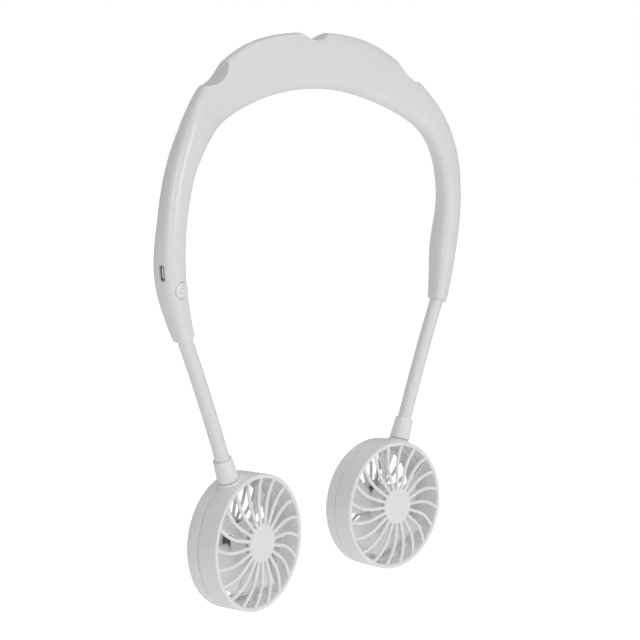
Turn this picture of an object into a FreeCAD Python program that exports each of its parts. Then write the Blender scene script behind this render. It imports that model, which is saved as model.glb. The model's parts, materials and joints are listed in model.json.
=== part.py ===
import FreeCAD
import Part
import math
import os

os.makedirs("parts", exist_ok=True)

Vector = FreeCAD.Vector
X_AXIS = Vector(1, 0, 0)
Y_AXIS = Vector(0, 1, 0)
Z_AXIS = Vector(0, 0, 1)
ORIGIN = Vector(0, 0, 0)

# Sizes are in millimetres and degrees. The origin is where the crown rests on the neck: X runs to the
# wearer's side, -Y is the side that the fans blow to, and the arms and fans hang below the crown.

# Neckband centreline: four tangent arcs from the middle of the crown to the end of an arm
CROWN_RADIUS = 154.5
CROWN_SWEEP = 28.65
SHOULDER_RADIUS = 65.3
SHOULDER_SWEEP = 48.8
ARM_RADIUS = 116.3
ARM_SWEEP = 17.2
TIP_RADIUS = 151.3
TIP_SWEEP = 15.2

# Neckband sections: share of the half length, reach inward, reach outward, thickness, set-back
BAND_STATIONS = (
    (0.00, 14.8, 14.6, 13.2, 8.3),
    (0.22, 13.7, 15.4, 12.9, 7.9),
    (0.38, 11.4, 11.4, 12.1, 5.1),
    (0.52, 8.6, 8.2, 12.2, 0.2),
    (0.70, 7.4, 7.5, 12.6, -0.2),
    (0.85, 7.3, 7.3, 14.7, 2.2),
    (1.00, 4.9, 5.3, 10.6, 0.0),
)
SECTION_SQUARENESS = 2.6
SECTION_POINTS = 12
SECTIONS_PER_HALF = 11

# Silicone sleeve: hollow arms, scallops on the outer edge
SLEEVE_WALL = 1.5
END_WALL = 7.3
CAVITY_LENGTH = 96.7
SCALLOP_RADIUS = 17.0
SCALLOP_DEPTH = 4.0
SCALLOP_SPACING = 73.8
INNER_CLEARANCE = 0.2

# Spring strip and lead through the crown, with tails that reach into the cavities
CORE_TAIL = 6.2
CORE_THICKNESS = 0.8
CORE_WIDTH = 7.0
LEAD_TAIL = 4.2
LEAD_RADIUS = 1.2
LEAD_INSET = 4.0

# Trays, cells, board and controls in the arms, measured along the band from the arm end
TRAY_FROM_END = 21.8
TRAY_LENGTH = 73.8
BOARD_FROM_END = 31.2
BOARD_LENGTH = 27.0
BOARD_WIDTH = 9.0
BOARD_THICKNESS = 1.0
BOARD_FACE = -0.9
SEAT_GAP = 0.1
CELL_FROM_END = 69.7
CELL_LENGTH = 34.0
CELL_WIDTH = 7.6
CELL_THICKNESS = 5.4
CELL_EDGE = 1.6
USB_OFFSET = 4.6
USB_WIDTH = 7.5
USB_HEIGHT = 2.5
USB_DEPTH = 5.2
USB_WALL = 0.3
USB_RECESS = 0.25
USB_CLEARANCE = 0.3
TONGUE_WIDTH = 4.6
TONGUE_THICKNESS = 0.6
BUTTON_OFFSET = -5.4
BUTTON_SIDE_OFFSET = -0.5
BUTTON_RADIUS = 3.2
BUTTON_CROWN = 0.35
BUTTON_PROUD = 0.1
BUTTON_LEDGE = 0.6
BUTTON_FLANGE = 0.6
BUTTON_STEM_RADIUS = 1.2
BUTTON_TRAVEL = 0.4
BUTTON_STOP_GAP = 0.15
BUTTON_FIT = 0.1
BEZEL_WIDTH = 0.8
BEZEL_DEPTH = 2.0
BEZEL_PROUD = 0.1
BEZEL_GAP = 0.3
SWITCH_SIZE = 4.5
SWITCH_HEIGHT = 1.6

# Goosenecks: a slight bend between the arm and the collar, angles from the vertical
GOOSENECK_LENGTH = 70.5
GOOSENECK_TOP_ANGLE = 24.7
GOOSENECK_BOTTOM_ANGLE = 20.5
GOOSENECK_RADIUS = 3.95
CONDUIT_RADIUS = 2.5
CONDUIT_BORE = 1.4
MOTOR_LEAD_RADIUS = 1.1
TUBE_CLEARANCE = 0.06
SLEEVE_INSERT = 6.0
CONDUIT_INSERT = 14.0
MOTOR_LEAD_TAIL = 4.0
ANCHOR_GAP = 0.6

# Collar and swivel
COLLAR_LENGTH = 12.1
COLLAR_TOP_RADIUS = 5.05
COLLAR_BOTTOM_RADIUS = 5.75
COLLAR_EDGE = 0.5
COLLAR_SOCKET = 7.0
CONDUIT_SOCKET = 2.0
STEM_RADIUS = 3.2
STEM_BORE = 1.6
STEM_FIT = 0.08
STEM_FLANGE_RADIUS = 4.4
STEM_FLANGE = 1.0
SWIVEL_GAP = 0.4
FLANGE_DROP = 3.0
BOSS_RADIUS = 6.3
BOSS_HEIGHT = 0.9
BOSS_ROOT = 1.8
TOE_IN = 5.8

# Fan heads: front edge, seam and back are measured along the fan axis from the swivel axis
HEAD_RADIUS = 36.0
HEAD_WALL = 2.4
HEAD_FRONT = -10.2
HEAD_SEAM = 1.8
HEAD_BACK = 11.3
SEAM_GROOVE = 0.5
FRONT_EDGE = 1.1
BACK_EDGE = 4.0
BACK_PLATE = 1.8
BACK_RING_WIDTH = 5.5
LIP_THICKNESS = 1.2
LIP_FIT = 0.15
LIP_DEPTH = 2.0
LIP_ROOT = 1.6
LIP_NOTCH = 11.0

# Grilles
RIB_COUNT = 20
RIB_WIDTH = 2.0
RIB_STRAIGHT_END = 18.0
RIB_BEND_RADIUS = 26.0
RIB_SINK = 1.0
DOME_RISE = 2.4
DOME_THICKNESS = 1.9
FRONT_DISC_RADIUS = 10.0
REAR_DISC_RADIUS = 11.5

# Impeller
BLADE_COUNT = 5
BLADE_TURN = {-1: 48.0, 1: 56.0}
TIP_GAP = 2.45
TIP_CHORD = 28.5
TIP_PITCH = 22.0
ROOT_CHORD = 14.5
ROOT_PITCH = 48.0
BLADE_THICKNESS = 1.2
BLADE_CAMBER = 0.09
BLADE_MIDDLE = -1.3
HUB_RADIUS = 11.0
HUB_WALL = 1.1
HUB_FRONT = -8.5
HUB_REAR = 1.0
HUB_EDGE = 2.0
HUB_BOSS_RADIUS = 2.6
HUB_BOSS_END = -3.6

# Motor
MOTOR_RADIUS = 9.0
MOTOR_FRONT = -1.5
MOTOR_WALL = 0.7
CAP_THICKNESS = 1.8
CAP_PLUG = 1.2
CUP_WALL = 1.4
CUP_HEIGHT = 2.0
SHAFT_RADIUS = 1.0
SHAFT_FRONT = -8.0
SHAFT_REAR_GAP = 1.0
SHAFT_FIT = 0.05
PRESS_CLEARANCE = 0.01
BUSH_RADIUS = 2.5
BUSH_FRONT = 1.3
BUSH_REAR = 2.3
MAGNET_THICKNESS = 1.8
MAGNET_COUNT = 2
MAGNET_SPAN = 140.0
AIR_GAP = 0.7
STACK_LENGTH = 4.4
HEAD_LEAD_RADIUS = 0.5
HEAD_LEAD_BEND = 4.5
HEAD_LEAD_END = 0.9

BAND_ARCS = (
    (CROWN_RADIUS, math.radians(CROWN_SWEEP)),
    (SHOULDER_RADIUS, math.radians(SHOULDER_SWEEP)),
    (ARM_RADIUS, math.radians(ARM_SWEEP)),
    (TIP_RADIUS, math.radians(TIP_SWEEP)),
)
HALF_LENGTH = sum(radius * sweep for radius, sweep in BAND_ARCS)
CAVITY_START = 1 - (END_WALL + CAVITY_LENGTH) / HALF_LENGTH
CAVITY_END = 1 - END_WALL / HALF_LENGTH
CORE_END = CAVITY_START + CORE_TAIL / HALF_LENGTH
LEAD_END = CAVITY_START + LEAD_TAIL / HALF_LENGTH
SCALLOP_SHARE = SCALLOP_SPACING / HALF_LENGTH
TRAY_START = 1 - (TRAY_FROM_END + TRAY_LENGTH) / HALF_LENGTH
TRAY_END = 1 - TRAY_FROM_END / HALF_LENGTH
BOARD_SHARE = 1 - BOARD_FROM_END / HALF_LENGTH
CELL_SHARE = 1 - CELL_FROM_END / HALF_LENGTH
BOARD_EDGE = BOARD_FROM_END - BOARD_LENGTH / 2
ANCHOR_START = 1 - (BOARD_EDGE - ANCHOR_GAP) / HALF_LENGTH
MOTOR_LEAD_INSERT = BOARD_EDGE + MOTOR_LEAD_TAIL
CROWN_REACH = BAND_STATIONS[0][1]
CROWN_SETBACK = BAND_STATIONS[0][4]
COLLAR_BOTTOM = HEAD_RADIUS + BOSS_HEIGHT + SWIVEL_GAP
COLLAR_TOP = COLLAR_BOTTOM + COLLAR_LENGTH
HEAD_BORE = HEAD_RADIUS - HEAD_WALL
BACK_RING = HEAD_RADIUS - BACK_RING_WIDTH
TIP_BLADE_RADIUS = HEAD_BORE - LIP_FIT - LIP_THICKNESS - TIP_GAP
FLANGE_TOP = HEAD_RADIUS - FLANGE_DROP
BACK_FACE = HEAD_BACK - BACK_PLATE
MOTOR_REAR = BACK_FACE - SEAT_GAP
REACH = 60.0


def station_slope(row, column):
    """Rate of change of a section size at one station, flat at the middle of the crown."""
    if row == 0:
        return 0.0
    after = min(row + 1, len(BAND_STATIONS) - 1)
    rise = BAND_STATIONS[after][column] - BAND_STATIONS[row - 1][column]
    return rise / (BAND_STATIONS[after][0] - BAND_STATIONS[row - 1][0])


def band_size(share):
    """Reach inward, reach outward, thickness and set-back of the band at a share of its half length."""
    share = abs(share)
    row = max(k for k in range(len(BAND_STATIONS) - 1) if BAND_STATIONS[k][0] <= share)
    here = BAND_STATIONS[row]
    ahead = BAND_STATIONS[row + 1]
    span = ahead[0] - here[0]
    t = (share - here[0]) / span
    sizes = []
    for column in range(1, 5):
        start_slope = station_slope(row, column) * span
        end_slope = station_slope(row + 1, column) * span
        size = here[column] * (2 * t**3 - 3 * t**2 + 1)
        size += start_slope * (t**3 - 2 * t**2 + t)
        size += ahead[column] * (3 * t**2 - 2 * t**3)
        size += end_slope * (t**3 - t**2)
        sizes.append(size)
    return sizes


def band_frame(share):
    """Centre, outward direction and left-to-right direction of the band. Negative shares are the left half."""
    side = math.copysign(1.0, share)
    run = abs(share) * HALF_LENGTH
    x = 0.0
    z = CROWN_REACH
    turn = 0.0
    for radius, sweep in BAND_ARCS:
        angle = min(run / radius, sweep)
        x += radius * (math.sin(turn + angle) - math.sin(turn))
        z += radius * (math.cos(turn + angle) - math.cos(turn))
        turn += angle
        run -= radius * angle
    centre = Vector(side * x, band_size(share)[3] - CROWN_SETBACK, z)
    outward = Vector(side * math.sin(turn), 0, math.cos(turn))
    along = Vector(math.cos(turn), 0, -side * math.sin(turn))
    return centre, outward, along


def band_place(share):
    """Placement with x along the band, y to the back and z outward."""
    centre, outward, along = band_frame(share)
    return FreeCAD.Placement(centre, FreeCAD.Rotation(along, Y_AXIS, outward, "XYZ"))


def shares(first, last, count):
    return [first + (last - first) * k / (count - 1) for k in range(count)]


def rounded(value):
    """One coordinate of a rounded-square outline, from a sine or cosine."""
    return math.copysign(abs(value) ** (2 / SECTION_SQUARENESS), value)


def band_section(share, inset):
    """Closed outline of the band, drawn in from its surface by an inset."""
    inner, outer, thickness, setback = band_size(share)
    centre, outward, along = band_frame(share)
    points = []
    for k in range(SECTION_POINTS):
        angle = 2 * math.pi * k / SECTION_POINTS
        across = rounded(math.cos(angle))
        reach = outer - inset if across > 0 else inner - inset
        depth = rounded(math.sin(angle)) * (thickness / 2 - inset)
        points.append(centre + outward * (across * reach) + Y_AXIS * depth)
    curve = Part.BSplineCurve()
    curve.interpolate(Points=points, PeriodicFlag=True)
    return Part.Wire(curve.toShape())


def band_solid(first, last, count, inset):
    return Part.makeLoft([band_section(share, inset) for share in shares(first, last, count)], True, False)


def whole_band():
    """The band from one arm end to the other, with sections that crowd towards the ends."""
    steps = shares(-math.pi / 2, math.pi / 2, 2 * SECTIONS_PER_HALF + 1)
    return Part.makeLoft([band_section(math.sin(step), 0.0) for step in steps], True, False)


def strip_solid(end, thickness, width):
    """Flat strip along the band's centreline, standing on edge between the two arms."""
    wires = []
    for share in shares(-end, end, 2 * SECTIONS_PER_HALF + 1):
        centre, outward, along = band_frame(share)
        rise = outward * (thickness / 2)
        half = Y_AXIS * (width / 2)
        corners = [centre + rise + half, centre + rise - half, centre - rise - half, centre - rise + half]
        wires.append(Part.makePolygon(corners + corners[:1]))
    return Part.makeLoft(wires, True, False)


def lead_solid(end, radius):
    """Round lead along the band, inside the strip."""
    wires = []
    for share in shares(-end, end, 2 * SECTIONS_PER_HALF + 1):
        centre, outward, along = band_frame(share)
        circle = Part.Circle(centre - outward * LEAD_INSET, along, radius)
        circle.XAxis = outward
        wires.append(Part.Wire(circle.toShape()))
    return Part.makeLoft(wires, True, False)


def turned(profile, axis=Z_AXIS):
    """Solid of revolution of a closed list of edges in the XZ or XY plane."""
    return Part.Face(Part.Wire(Part.__sortEdges__(profile))).revolve(ORIGIN, axis, 360)


def lines(points):
    closed = points + points[:1]
    return [Part.makeLine(closed[k], closed[k + 1]) for k in range(len(points))]


def rod(radius, start, end, axis=Y_AXIS):
    return Part.makeCylinder(radius, end - start, axis * start, axis)


def tube(outer, inner, start, end, axis=Y_AXIS):
    return rod(outer, start, end, axis).cut(rod(inner, start, end, axis))


def block(low, high):
    return Part.makeBox(high.x - low.x, high.y - low.y, high.z - low.z, low)


def placed(shape, placement):
    moved = shape.copy()
    moved.Placement = placement.multiply(moved.Placement)
    return moved


def up_the_gooseneck(side, angle):
    """Direction along the gooseneck towards the arm, at an angle from the vertical."""
    return Vector(side * math.sin(math.radians(angle)), 0, math.cos(math.radians(angle)))


def gooseneck_point(side, angle):
    """Point of the gooseneck's centreline where it stands at an angle from the vertical."""
    top = math.radians(GOOSENECK_TOP_ANGLE)
    here = math.radians(angle)
    radius = GOOSENECK_LENGTH / (top - math.radians(GOOSENECK_BOTTOM_ANGLE))
    across = side * radius * (math.cos(here) - math.cos(top))
    drop = radius * (math.sin(top) - math.sin(here))
    return band_frame(side)[0] - Vector(across, 0, drop)


def gooseneck_rod(side, radius, top_insert, bottom_insert):
    """Rod along the gooseneck, let into the arm above and into the collar below."""
    top = gooseneck_point(side, GOOSENECK_TOP_ANGLE)
    middle = gooseneck_point(side, (GOOSENECK_TOP_ANGLE + GOOSENECK_BOTTOM_ANGLE) / 2)
    bottom = gooseneck_point(side, GOOSENECK_BOTTOM_ANGLE)
    start = top + up_the_gooseneck(side, GOOSENECK_TOP_ANGLE) * top_insert
    end = bottom - up_the_gooseneck(side, GOOSENECK_BOTTOM_ANGLE) * bottom_insert
    edges = [Part.makeLine(start, top), Part.Arc(top, middle, bottom).toShape(), Part.makeLine(bottom, end)]
    profile = Part.Wire(Part.makeCircle(radius, start, up_the_gooseneck(side, GOOSENECK_TOP_ANGLE)))
    return Part.Wire(edges).makePipeShell([profile], True, False)


def arm_bore(side, radius, depth):
    """Straight bore into the end of an arm, in line with the top of the gooseneck."""
    direction = up_the_gooseneck(side, GOOSENECK_TOP_ANGLE)
    mouth = band_frame(side)[0] - direction * SLEEVE_INSERT
    return Part.makeCylinder(radius, depth + SLEEVE_INSERT, mouth, direction)


def neckband_sleeve():
    body = whole_band()
    tools = []
    for side in (-1, 1):
        tools.append(band_solid(side * CAVITY_START, side * CAVITY_END, SECTIONS_PER_HALF, SLEEVE_WALL))
        tools.append(arm_bore(side, GOOSENECK_RADIUS + TUBE_CLEARANCE, CONDUIT_INSERT))
    for share in (-SCALLOP_SHARE, 0.0, SCALLOP_SHARE):
        centre, outward, along = band_frame(share)
        middle = centre + outward * (band_size(share)[1] - SCALLOP_DEPTH + SCALLOP_RADIUS)
        tools.append(Part.makeCylinder(SCALLOP_RADIUS, REACH, middle - Y_AXIS * (REACH / 2), Y_AXIS))
    tools.append(strip_solid(CORE_END, CORE_THICKNESS + 2 * INNER_CLEARANCE, CORE_WIDTH + 2 * INNER_CLEARANCE))
    tools.append(lead_solid(LEAD_END, LEAD_RADIUS + INNER_CLEARANCE))
    outer = band_size(BOARD_SHARE)[1]
    half_width = USB_WIDTH / 2 + USB_CLEARANCE
    half_height = USB_HEIGHT / 2 + USB_CLEARANCE
    slot = block(
        Vector(USB_OFFSET - half_width, usb_middle() - half_height, outer - SLEEVE_WALL - USB_DEPTH / 2),
        Vector(USB_OFFSET + half_width, usb_middle() + half_height, outer + SLEEVE_WALL),
    )
    tools.append(placed(slot, band_place(-BOARD_SHARE)))
    hole = button_rod(bezel_radius() + TUBE_CLEARANCE, front_face() - SLEEVE_WALL, BOARD_FACE - SWITCH_HEIGHT)
    tools.append(placed(hole, band_place(-BOARD_SHARE)))
    for tool in tools:
        body = body.cut(tool)
    return body


def front_face():
    """Front surface of the arm beside the board, from the board's own centre."""
    return -band_size(BOARD_SHARE)[2] / 2


def usb_middle():
    return BOARD_FACE - SEAT_GAP - USB_HEIGHT / 2


def bezel_radius():
    return BUTTON_RADIUS + BUTTON_FIT + BEZEL_WIDTH


def button_rod(radius, start, end):
    """Cylinder on the button's axis, between two depths beside the board."""
    base = Vector(BUTTON_OFFSET, start, BUTTON_SIDE_OFFSET)
    return Part.makeCylinder(radius, end - start, base, Y_AXIS)


def spring_core():
    return strip_solid(CORE_END, CORE_THICKNESS, CORE_WIDTH)


def cross_lead():
    return lead_solid(LEAD_END, LEAD_RADIUS)


def tray_face():
    """Y of the flat face that board and cell lie on."""
    return band_frame(BOARD_SHARE)[0].y + BOARD_FACE + BOARD_THICKNESS + SEAT_GAP


def chassis(side):
    """Tray that fills the back of the arm's cavity behind a flat face."""
    wires = []
    inset = SLEEVE_WALL + INNER_CLEARANCE
    for share in shares(side * TRAY_START, side * TRAY_END, SECTIONS_PER_HALF):
        inner, outer, thickness, setback = band_size(share)
        centre, outward, along = band_frame(share)
        depth = thickness / 2 - inset
        level = (tray_face() - centre.y) / depth
        spread = (1 - abs(level) ** SECTION_SQUARENESS) ** (1 / SECTION_SQUARENESS)
        face_middle = Vector(centre.x, tray_face(), centre.z)
        outer_edge = face_middle + outward * ((outer - inset) * spread)
        inner_edge = face_middle - outward * ((inner - inset) * spread)
        back = centre + Y_AXIS * depth
        wires.append(Part.Wire([
            Part.makeLine(outer_edge, inner_edge),
            Part.Arc(inner_edge, back, outer_edge).toShape(),
        ]))
    return Part.makeLoft(wires, True, False)


def cell(side):
    place = band_place(side * CELL_SHARE)
    rear = tray_face() - place.Base.y - SEAT_GAP
    low = Vector(-CELL_LENGTH / 2, rear - CELL_THICKNESS, -CELL_WIDTH / 2)
    high = Vector(CELL_LENGTH / 2, rear, CELL_WIDTH / 2)
    pack = block(low, high)
    long_edges = [edge for edge in pack.Edges if abs(edge.Length - CELL_LENGTH) < 1e-6]
    return placed(pack.makeFillet(CELL_EDGE, long_edges), place)


def gooseneck_anchor(side):
    body = band_solid(side * ANCHOR_START, side * CAVITY_END, 4, SLEEVE_WALL + INNER_CLEARANCE)
    conduit = arm_bore(side, CONDUIT_RADIUS + TUBE_CLEARANCE, CONDUIT_INSERT + SEAT_GAP)
    lead = arm_bore(side, MOTOR_LEAD_RADIUS + TUBE_CLEARANCE, MOTOR_LEAD_INSERT)
    return body.cut([conduit, lead])


def circuit_board():
    low = Vector(-BOARD_LENGTH / 2, BOARD_FACE, -BOARD_WIDTH / 2)
    high = Vector(BOARD_LENGTH / 2, BOARD_FACE + BOARD_THICKNESS, BOARD_WIDTH / 2)
    return placed(block(low, high), band_place(-BOARD_SHARE))


def usb_socket():
    """Steel shell with its contact tongue, lying on the board with its mouth at the arm's outer side."""
    mouth = band_size(BOARD_SHARE)[1] - USB_RECESS
    middle = Vector(USB_OFFSET, usb_middle(), mouth)
    half = Vector(USB_WIDTH / 2, USB_HEIGHT / 2, 0)
    inside = Vector(USB_WIDTH / 2 - USB_WALL, USB_HEIGHT / 2 - USB_WALL, 0)
    back = Vector(0, 0, USB_DEPTH)
    floor = Vector(0, 0, USB_DEPTH - 2 * USB_WALL)
    tongue_half = Vector(TONGUE_WIDTH / 2, TONGUE_THICKNESS / 2, 0)
    shell = block(middle - half - back, middle + half)
    shell = shell.cut(block(middle - inside - floor, middle + inside))
    tongue = block(middle - tongue_half - back, middle + tongue_half - Vector(0, 0, USB_WALL))
    return placed(shell.fuse(tongue).removeSplitter(), band_place(-BOARD_SHARE))


def tact_switch():
    half = SWITCH_SIZE / 2
    rear = BOARD_FACE - SEAT_GAP
    low = Vector(BUTTON_OFFSET - half, rear - SWITCH_HEIGHT, BUTTON_SIDE_OFFSET - half)
    high = Vector(BUTTON_OFFSET + half, rear, BUTTON_SIDE_OFFSET + half)
    return placed(block(low, high), band_place(-BOARD_SHARE))


def bezel_front():
    return front_face() - BEZEL_PROUD


def button_bezel():
    start = bezel_front()
    ring = button_rod(bezel_radius(), start, start + BEZEL_DEPTH)
    ring = ring.cut(button_rod(BUTTON_RADIUS + BUTTON_FIT, start, start + BEZEL_DEPTH))
    return placed(ring, band_place(-BOARD_SHARE))


def power_button():
    """Domed cap on a flange that the bezel holds in, with a stem that reaches the switch."""
    flange_front = bezel_front() + BEZEL_DEPTH + BEZEL_GAP
    stem_end = BOARD_FACE - SEAT_GAP - SWITCH_HEIGHT - BUTTON_STOP_GAP - BUTTON_TRAVEL
    rim = bezel_front() - BUTTON_PROUD
    dome_radius = (BUTTON_RADIUS**2 + BUTTON_CROWN**2) / (2 * BUTTON_CROWN)
    centre = Vector(BUTTON_OFFSET, rim - BUTTON_CROWN + dome_radius, BUTTON_SIDE_OFFSET)
    cap = button_rod(BUTTON_RADIUS, rim - BUTTON_CROWN, flange_front + BUTTON_FLANGE)
    cap = cap.common(Part.makeSphere(dome_radius, centre))
    flange = button_rod(BUTTON_RADIUS + BUTTON_LEDGE, flange_front, flange_front + BUTTON_FLANGE)
    stem = button_rod(BUTTON_STEM_RADIUS, flange_front, stem_end)
    return placed(cap.fuse([flange, stem]).removeSplitter(), band_place(-BOARD_SHARE))


def gooseneck_sleeve(side):
    skin = gooseneck_rod(side, GOOSENECK_RADIUS, SLEEVE_INSERT, COLLAR_SOCKET - SEAT_GAP)
    return skin.cut(gooseneck_rod(side, CONDUIT_RADIUS + TUBE_CLEARANCE, SLEEVE_INSERT, COLLAR_SOCKET))


def gooseneck_core(side):
    depth = COLLAR_SOCKET + CONDUIT_SOCKET - SEAT_GAP
    conduit = gooseneck_rod(side, CONDUIT_RADIUS, CONDUIT_INSERT, depth)
    return conduit.cut(gooseneck_rod(side, CONDUIT_BORE, CONDUIT_INSERT, depth))


def motor_lead(side):
    return gooseneck_rod(side, MOTOR_LEAD_RADIUS, MOTOR_LEAD_INSERT, COLLAR_LENGTH)


def collar_place(side):
    """Placement with z along the swivel axis and its origin in the middle of the fan head."""
    axis = up_the_gooseneck(side, GOOSENECK_BOTTOM_ANGLE)
    centre = gooseneck_point(side, GOOSENECK_BOTTOM_ANGLE) - axis * COLLAR_TOP
    return FreeCAD.Placement(centre, FreeCAD.Rotation(Y_AXIS, side * GOOSENECK_BOTTOM_ANGLE))


def head_place(side):
    """The collar's placement turned about the swivel axis by the toe-in."""
    toe = FreeCAD.Placement(ORIGIN, FreeCAD.Rotation(Z_AXIS, -side * TOE_IN))
    return collar_place(side).multiply(toe)


def collar(side):
    """Tapered collar: gooseneck socket above, hollow swivel stem with its flange below."""
    socket_floor = COLLAR_TOP - COLLAR_SOCKET
    conduit_floor = socket_floor - CONDUIT_SOCKET
    profile = [
        Vector(STEM_BORE, 0, FLANGE_TOP - STEM_FLANGE),
        Vector(STEM_FLANGE_RADIUS, 0, FLANGE_TOP - STEM_FLANGE),
        Vector(STEM_FLANGE_RADIUS, 0, FLANGE_TOP),
        Vector(STEM_RADIUS, 0, FLANGE_TOP),
        Vector(STEM_RADIUS, 0, COLLAR_BOTTOM),
        Vector(COLLAR_BOTTOM_RADIUS - COLLAR_EDGE, 0, COLLAR_BOTTOM),
        Vector(COLLAR_BOTTOM_RADIUS, 0, COLLAR_BOTTOM + COLLAR_EDGE),
        Vector(COLLAR_TOP_RADIUS, 0, COLLAR_TOP - COLLAR_EDGE),
        Vector(COLLAR_TOP_RADIUS - COLLAR_EDGE, 0, COLLAR_TOP),
        Vector(GOOSENECK_RADIUS + TUBE_CLEARANCE, 0, COLLAR_TOP),
        Vector(GOOSENECK_RADIUS + TUBE_CLEARANCE, 0, socket_floor),
        Vector(CONDUIT_RADIUS + TUBE_CLEARANCE, 0, socket_floor),
        Vector(CONDUIT_RADIUS + TUBE_CLEARANCE, 0, conduit_floor),
        Vector(STEM_BORE, 0, conduit_floor),
    ]
    return placed(turned(lines(profile)), collar_place(side))


def corner_arc(start, end, centre):
    """Quarter-round edge between two points about a centre."""
    middle = centre + ((start + end) * 0.5 - centre).normalize() * (start - centre).Length
    return Part.Arc(start, middle, end).toShape()


def front_ring():
    """Side wall of the front cover with a rounded front edge."""
    inner_turn = Vector(HEAD_BORE, HEAD_FRONT + FRONT_EDGE, 0)
    inner_front = Vector(HEAD_BORE + FRONT_EDGE, HEAD_FRONT, 0)
    outer_front = Vector(HEAD_RADIUS - FRONT_EDGE, HEAD_FRONT, 0)
    outer_turn = Vector(HEAD_RADIUS, HEAD_FRONT + FRONT_EDGE, 0)
    outer_seam = Vector(HEAD_RADIUS, HEAD_SEAM, 0)
    inner_seam = Vector(HEAD_BORE, HEAD_SEAM, 0)
    profile = [
        Part.makeLine(inner_seam, inner_turn),
        corner_arc(inner_turn, inner_front, inner_turn + X_AXIS * FRONT_EDGE),
        Part.makeLine(inner_front, outer_front),
        corner_arc(outer_front, outer_turn, outer_turn - X_AXIS * FRONT_EDGE),
        Part.makeLine(outer_turn, outer_seam),
        Part.makeLine(outer_seam, inner_seam),
    ]
    return turned(profile, Y_AXIS)


def rear_shell():
    """Side wall and back ring of the rear cover, with the lip that plugs into the front cover."""
    start = HEAD_SEAM + SEAM_GROOVE
    wall_turn = HEAD_BACK - BACK_EDGE
    inner_edge = BACK_EDGE - BACK_PLATE
    outer_start = Vector(HEAD_RADIUS, start, 0)
    outer_turn = Vector(HEAD_RADIUS, wall_turn, 0)
    back_turn = Vector(HEAD_RADIUS - BACK_EDGE, HEAD_BACK, 0)
    ring_back = Vector(BACK_RING, HEAD_BACK, 0)
    ring_front = Vector(BACK_RING, BACK_FACE, 0)
    inner_back = Vector(HEAD_BORE - inner_edge, BACK_FACE, 0)
    inner_turn = Vector(HEAD_BORE, BACK_FACE - inner_edge, 0)
    inner_start = Vector(HEAD_BORE, start, 0)
    profile = [
        Part.makeLine(outer_start, outer_turn),
        corner_arc(outer_turn, back_turn, outer_turn - X_AXIS * BACK_EDGE),
        Part.makeLine(back_turn, ring_back),
        Part.makeLine(ring_back, ring_front),
        Part.makeLine(ring_front, inner_back),
        corner_arc(inner_back, inner_turn, inner_turn - X_AXIS * inner_edge),
        Part.makeLine(inner_turn, inner_start),
        Part.makeLine(inner_start, outer_start),
    ]
    lip_outer = HEAD_BORE - LIP_FIT
    lip = tube(lip_outer, lip_outer - LIP_THICKNESS, HEAD_SEAM - LIP_DEPTH, start + LIP_ROOT)
    root = tube(HEAD_BORE + HEAD_WALL / 2, lip_outer - LIP_THICKNESS, start, start + LIP_ROOT)
    return turned(profile, Y_AXIS).fuse([lip, root])


def swivel_boss(start, end):
    """Low round boss on the rim between two planes square to the fan axis."""
    boss = rod(BOSS_RADIUS, HEAD_RADIUS - BOSS_ROOT, HEAD_RADIUS + BOSS_HEIGHT, Z_AXIS)
    return boss.common(block(Vector(-REACH, start, 0), Vector(REACH, end, REACH)))


def stem_hole():
    return rod(STEM_RADIUS + STEM_FIT, FLANGE_TOP - STEM_FLANGE - STEM_FIT, REACH, Z_AXIS)


def rib_face(start, end):
    """Flat outline of one rib: straight near the middle, then swept round to the rim."""
    half = RIB_WIDTH / 2
    middle = Vector(RIB_STRAIGHT_END, 0, -RIB_BEND_RADIUS)
    reach_square = middle.x**2 + middle.z**2
    cosine = (reach_square + RIB_BEND_RADIUS**2 - end**2) / (2 * math.sqrt(reach_square) * RIB_BEND_RADIUS)
    sweep = math.acos(cosine) - math.atan2(middle.x, -middle.z)

    def bend(offset, share):
        radius = RIB_BEND_RADIUS + offset
        return middle + Vector(math.sin(sweep * share), 0, math.cos(sweep * share)) * radius

    edges = [
        Part.makeLine(Vector(start, 0, half), bend(half, 0)),
        Part.Arc(bend(half, 0), bend(half, 0.5), bend(half, 1)).toShape(),
        Part.makeLine(bend(half, 1), bend(-half, 1)),
        Part.Arc(bend(-half, 1), bend(-half, 0.5), bend(-half, 0)).toShape(),
        Part.makeLine(bend(-half, 0), Vector(start, 0, -half)),
        Part.makeLine(Vector(start, 0, -half), Vector(start, 0, half)),
    ]
    return Part.Face(Part.Wire(edges))


def ribs(start, end, front, back):
    """Ring of swept ribs between two planes square to the fan axis."""
    rib = rib_face(start, end).extrude(Y_AXIS * (back - front))
    rib.translate(Y_AXIS * front)
    copies = []
    for k in range(RIB_COUNT):
        copy = rib.copy()
        copy.rotate(ORIGIN, Y_AXIS, 360.0 * k / RIB_COUNT)
        copies.append(copy)
    return copies


def dome():
    """Thin dome from the front edge to the proud middle of the grille."""
    sphere_radius = (HEAD_BORE**2 + DOME_RISE**2) / (2 * DOME_RISE)
    centre = Y_AXIS * (HEAD_FRONT + FRONT_EDGE / 2 - DOME_RISE + sphere_radius)
    shell = Part.makeSphere(sphere_radius, centre).cut(Part.makeSphere(sphere_radius - DOME_THICKNESS, centre))
    return shell.common(rod(HEAD_RADIUS, HEAD_FRONT - 2 * DOME_RISE, HEAD_SEAM))


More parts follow.
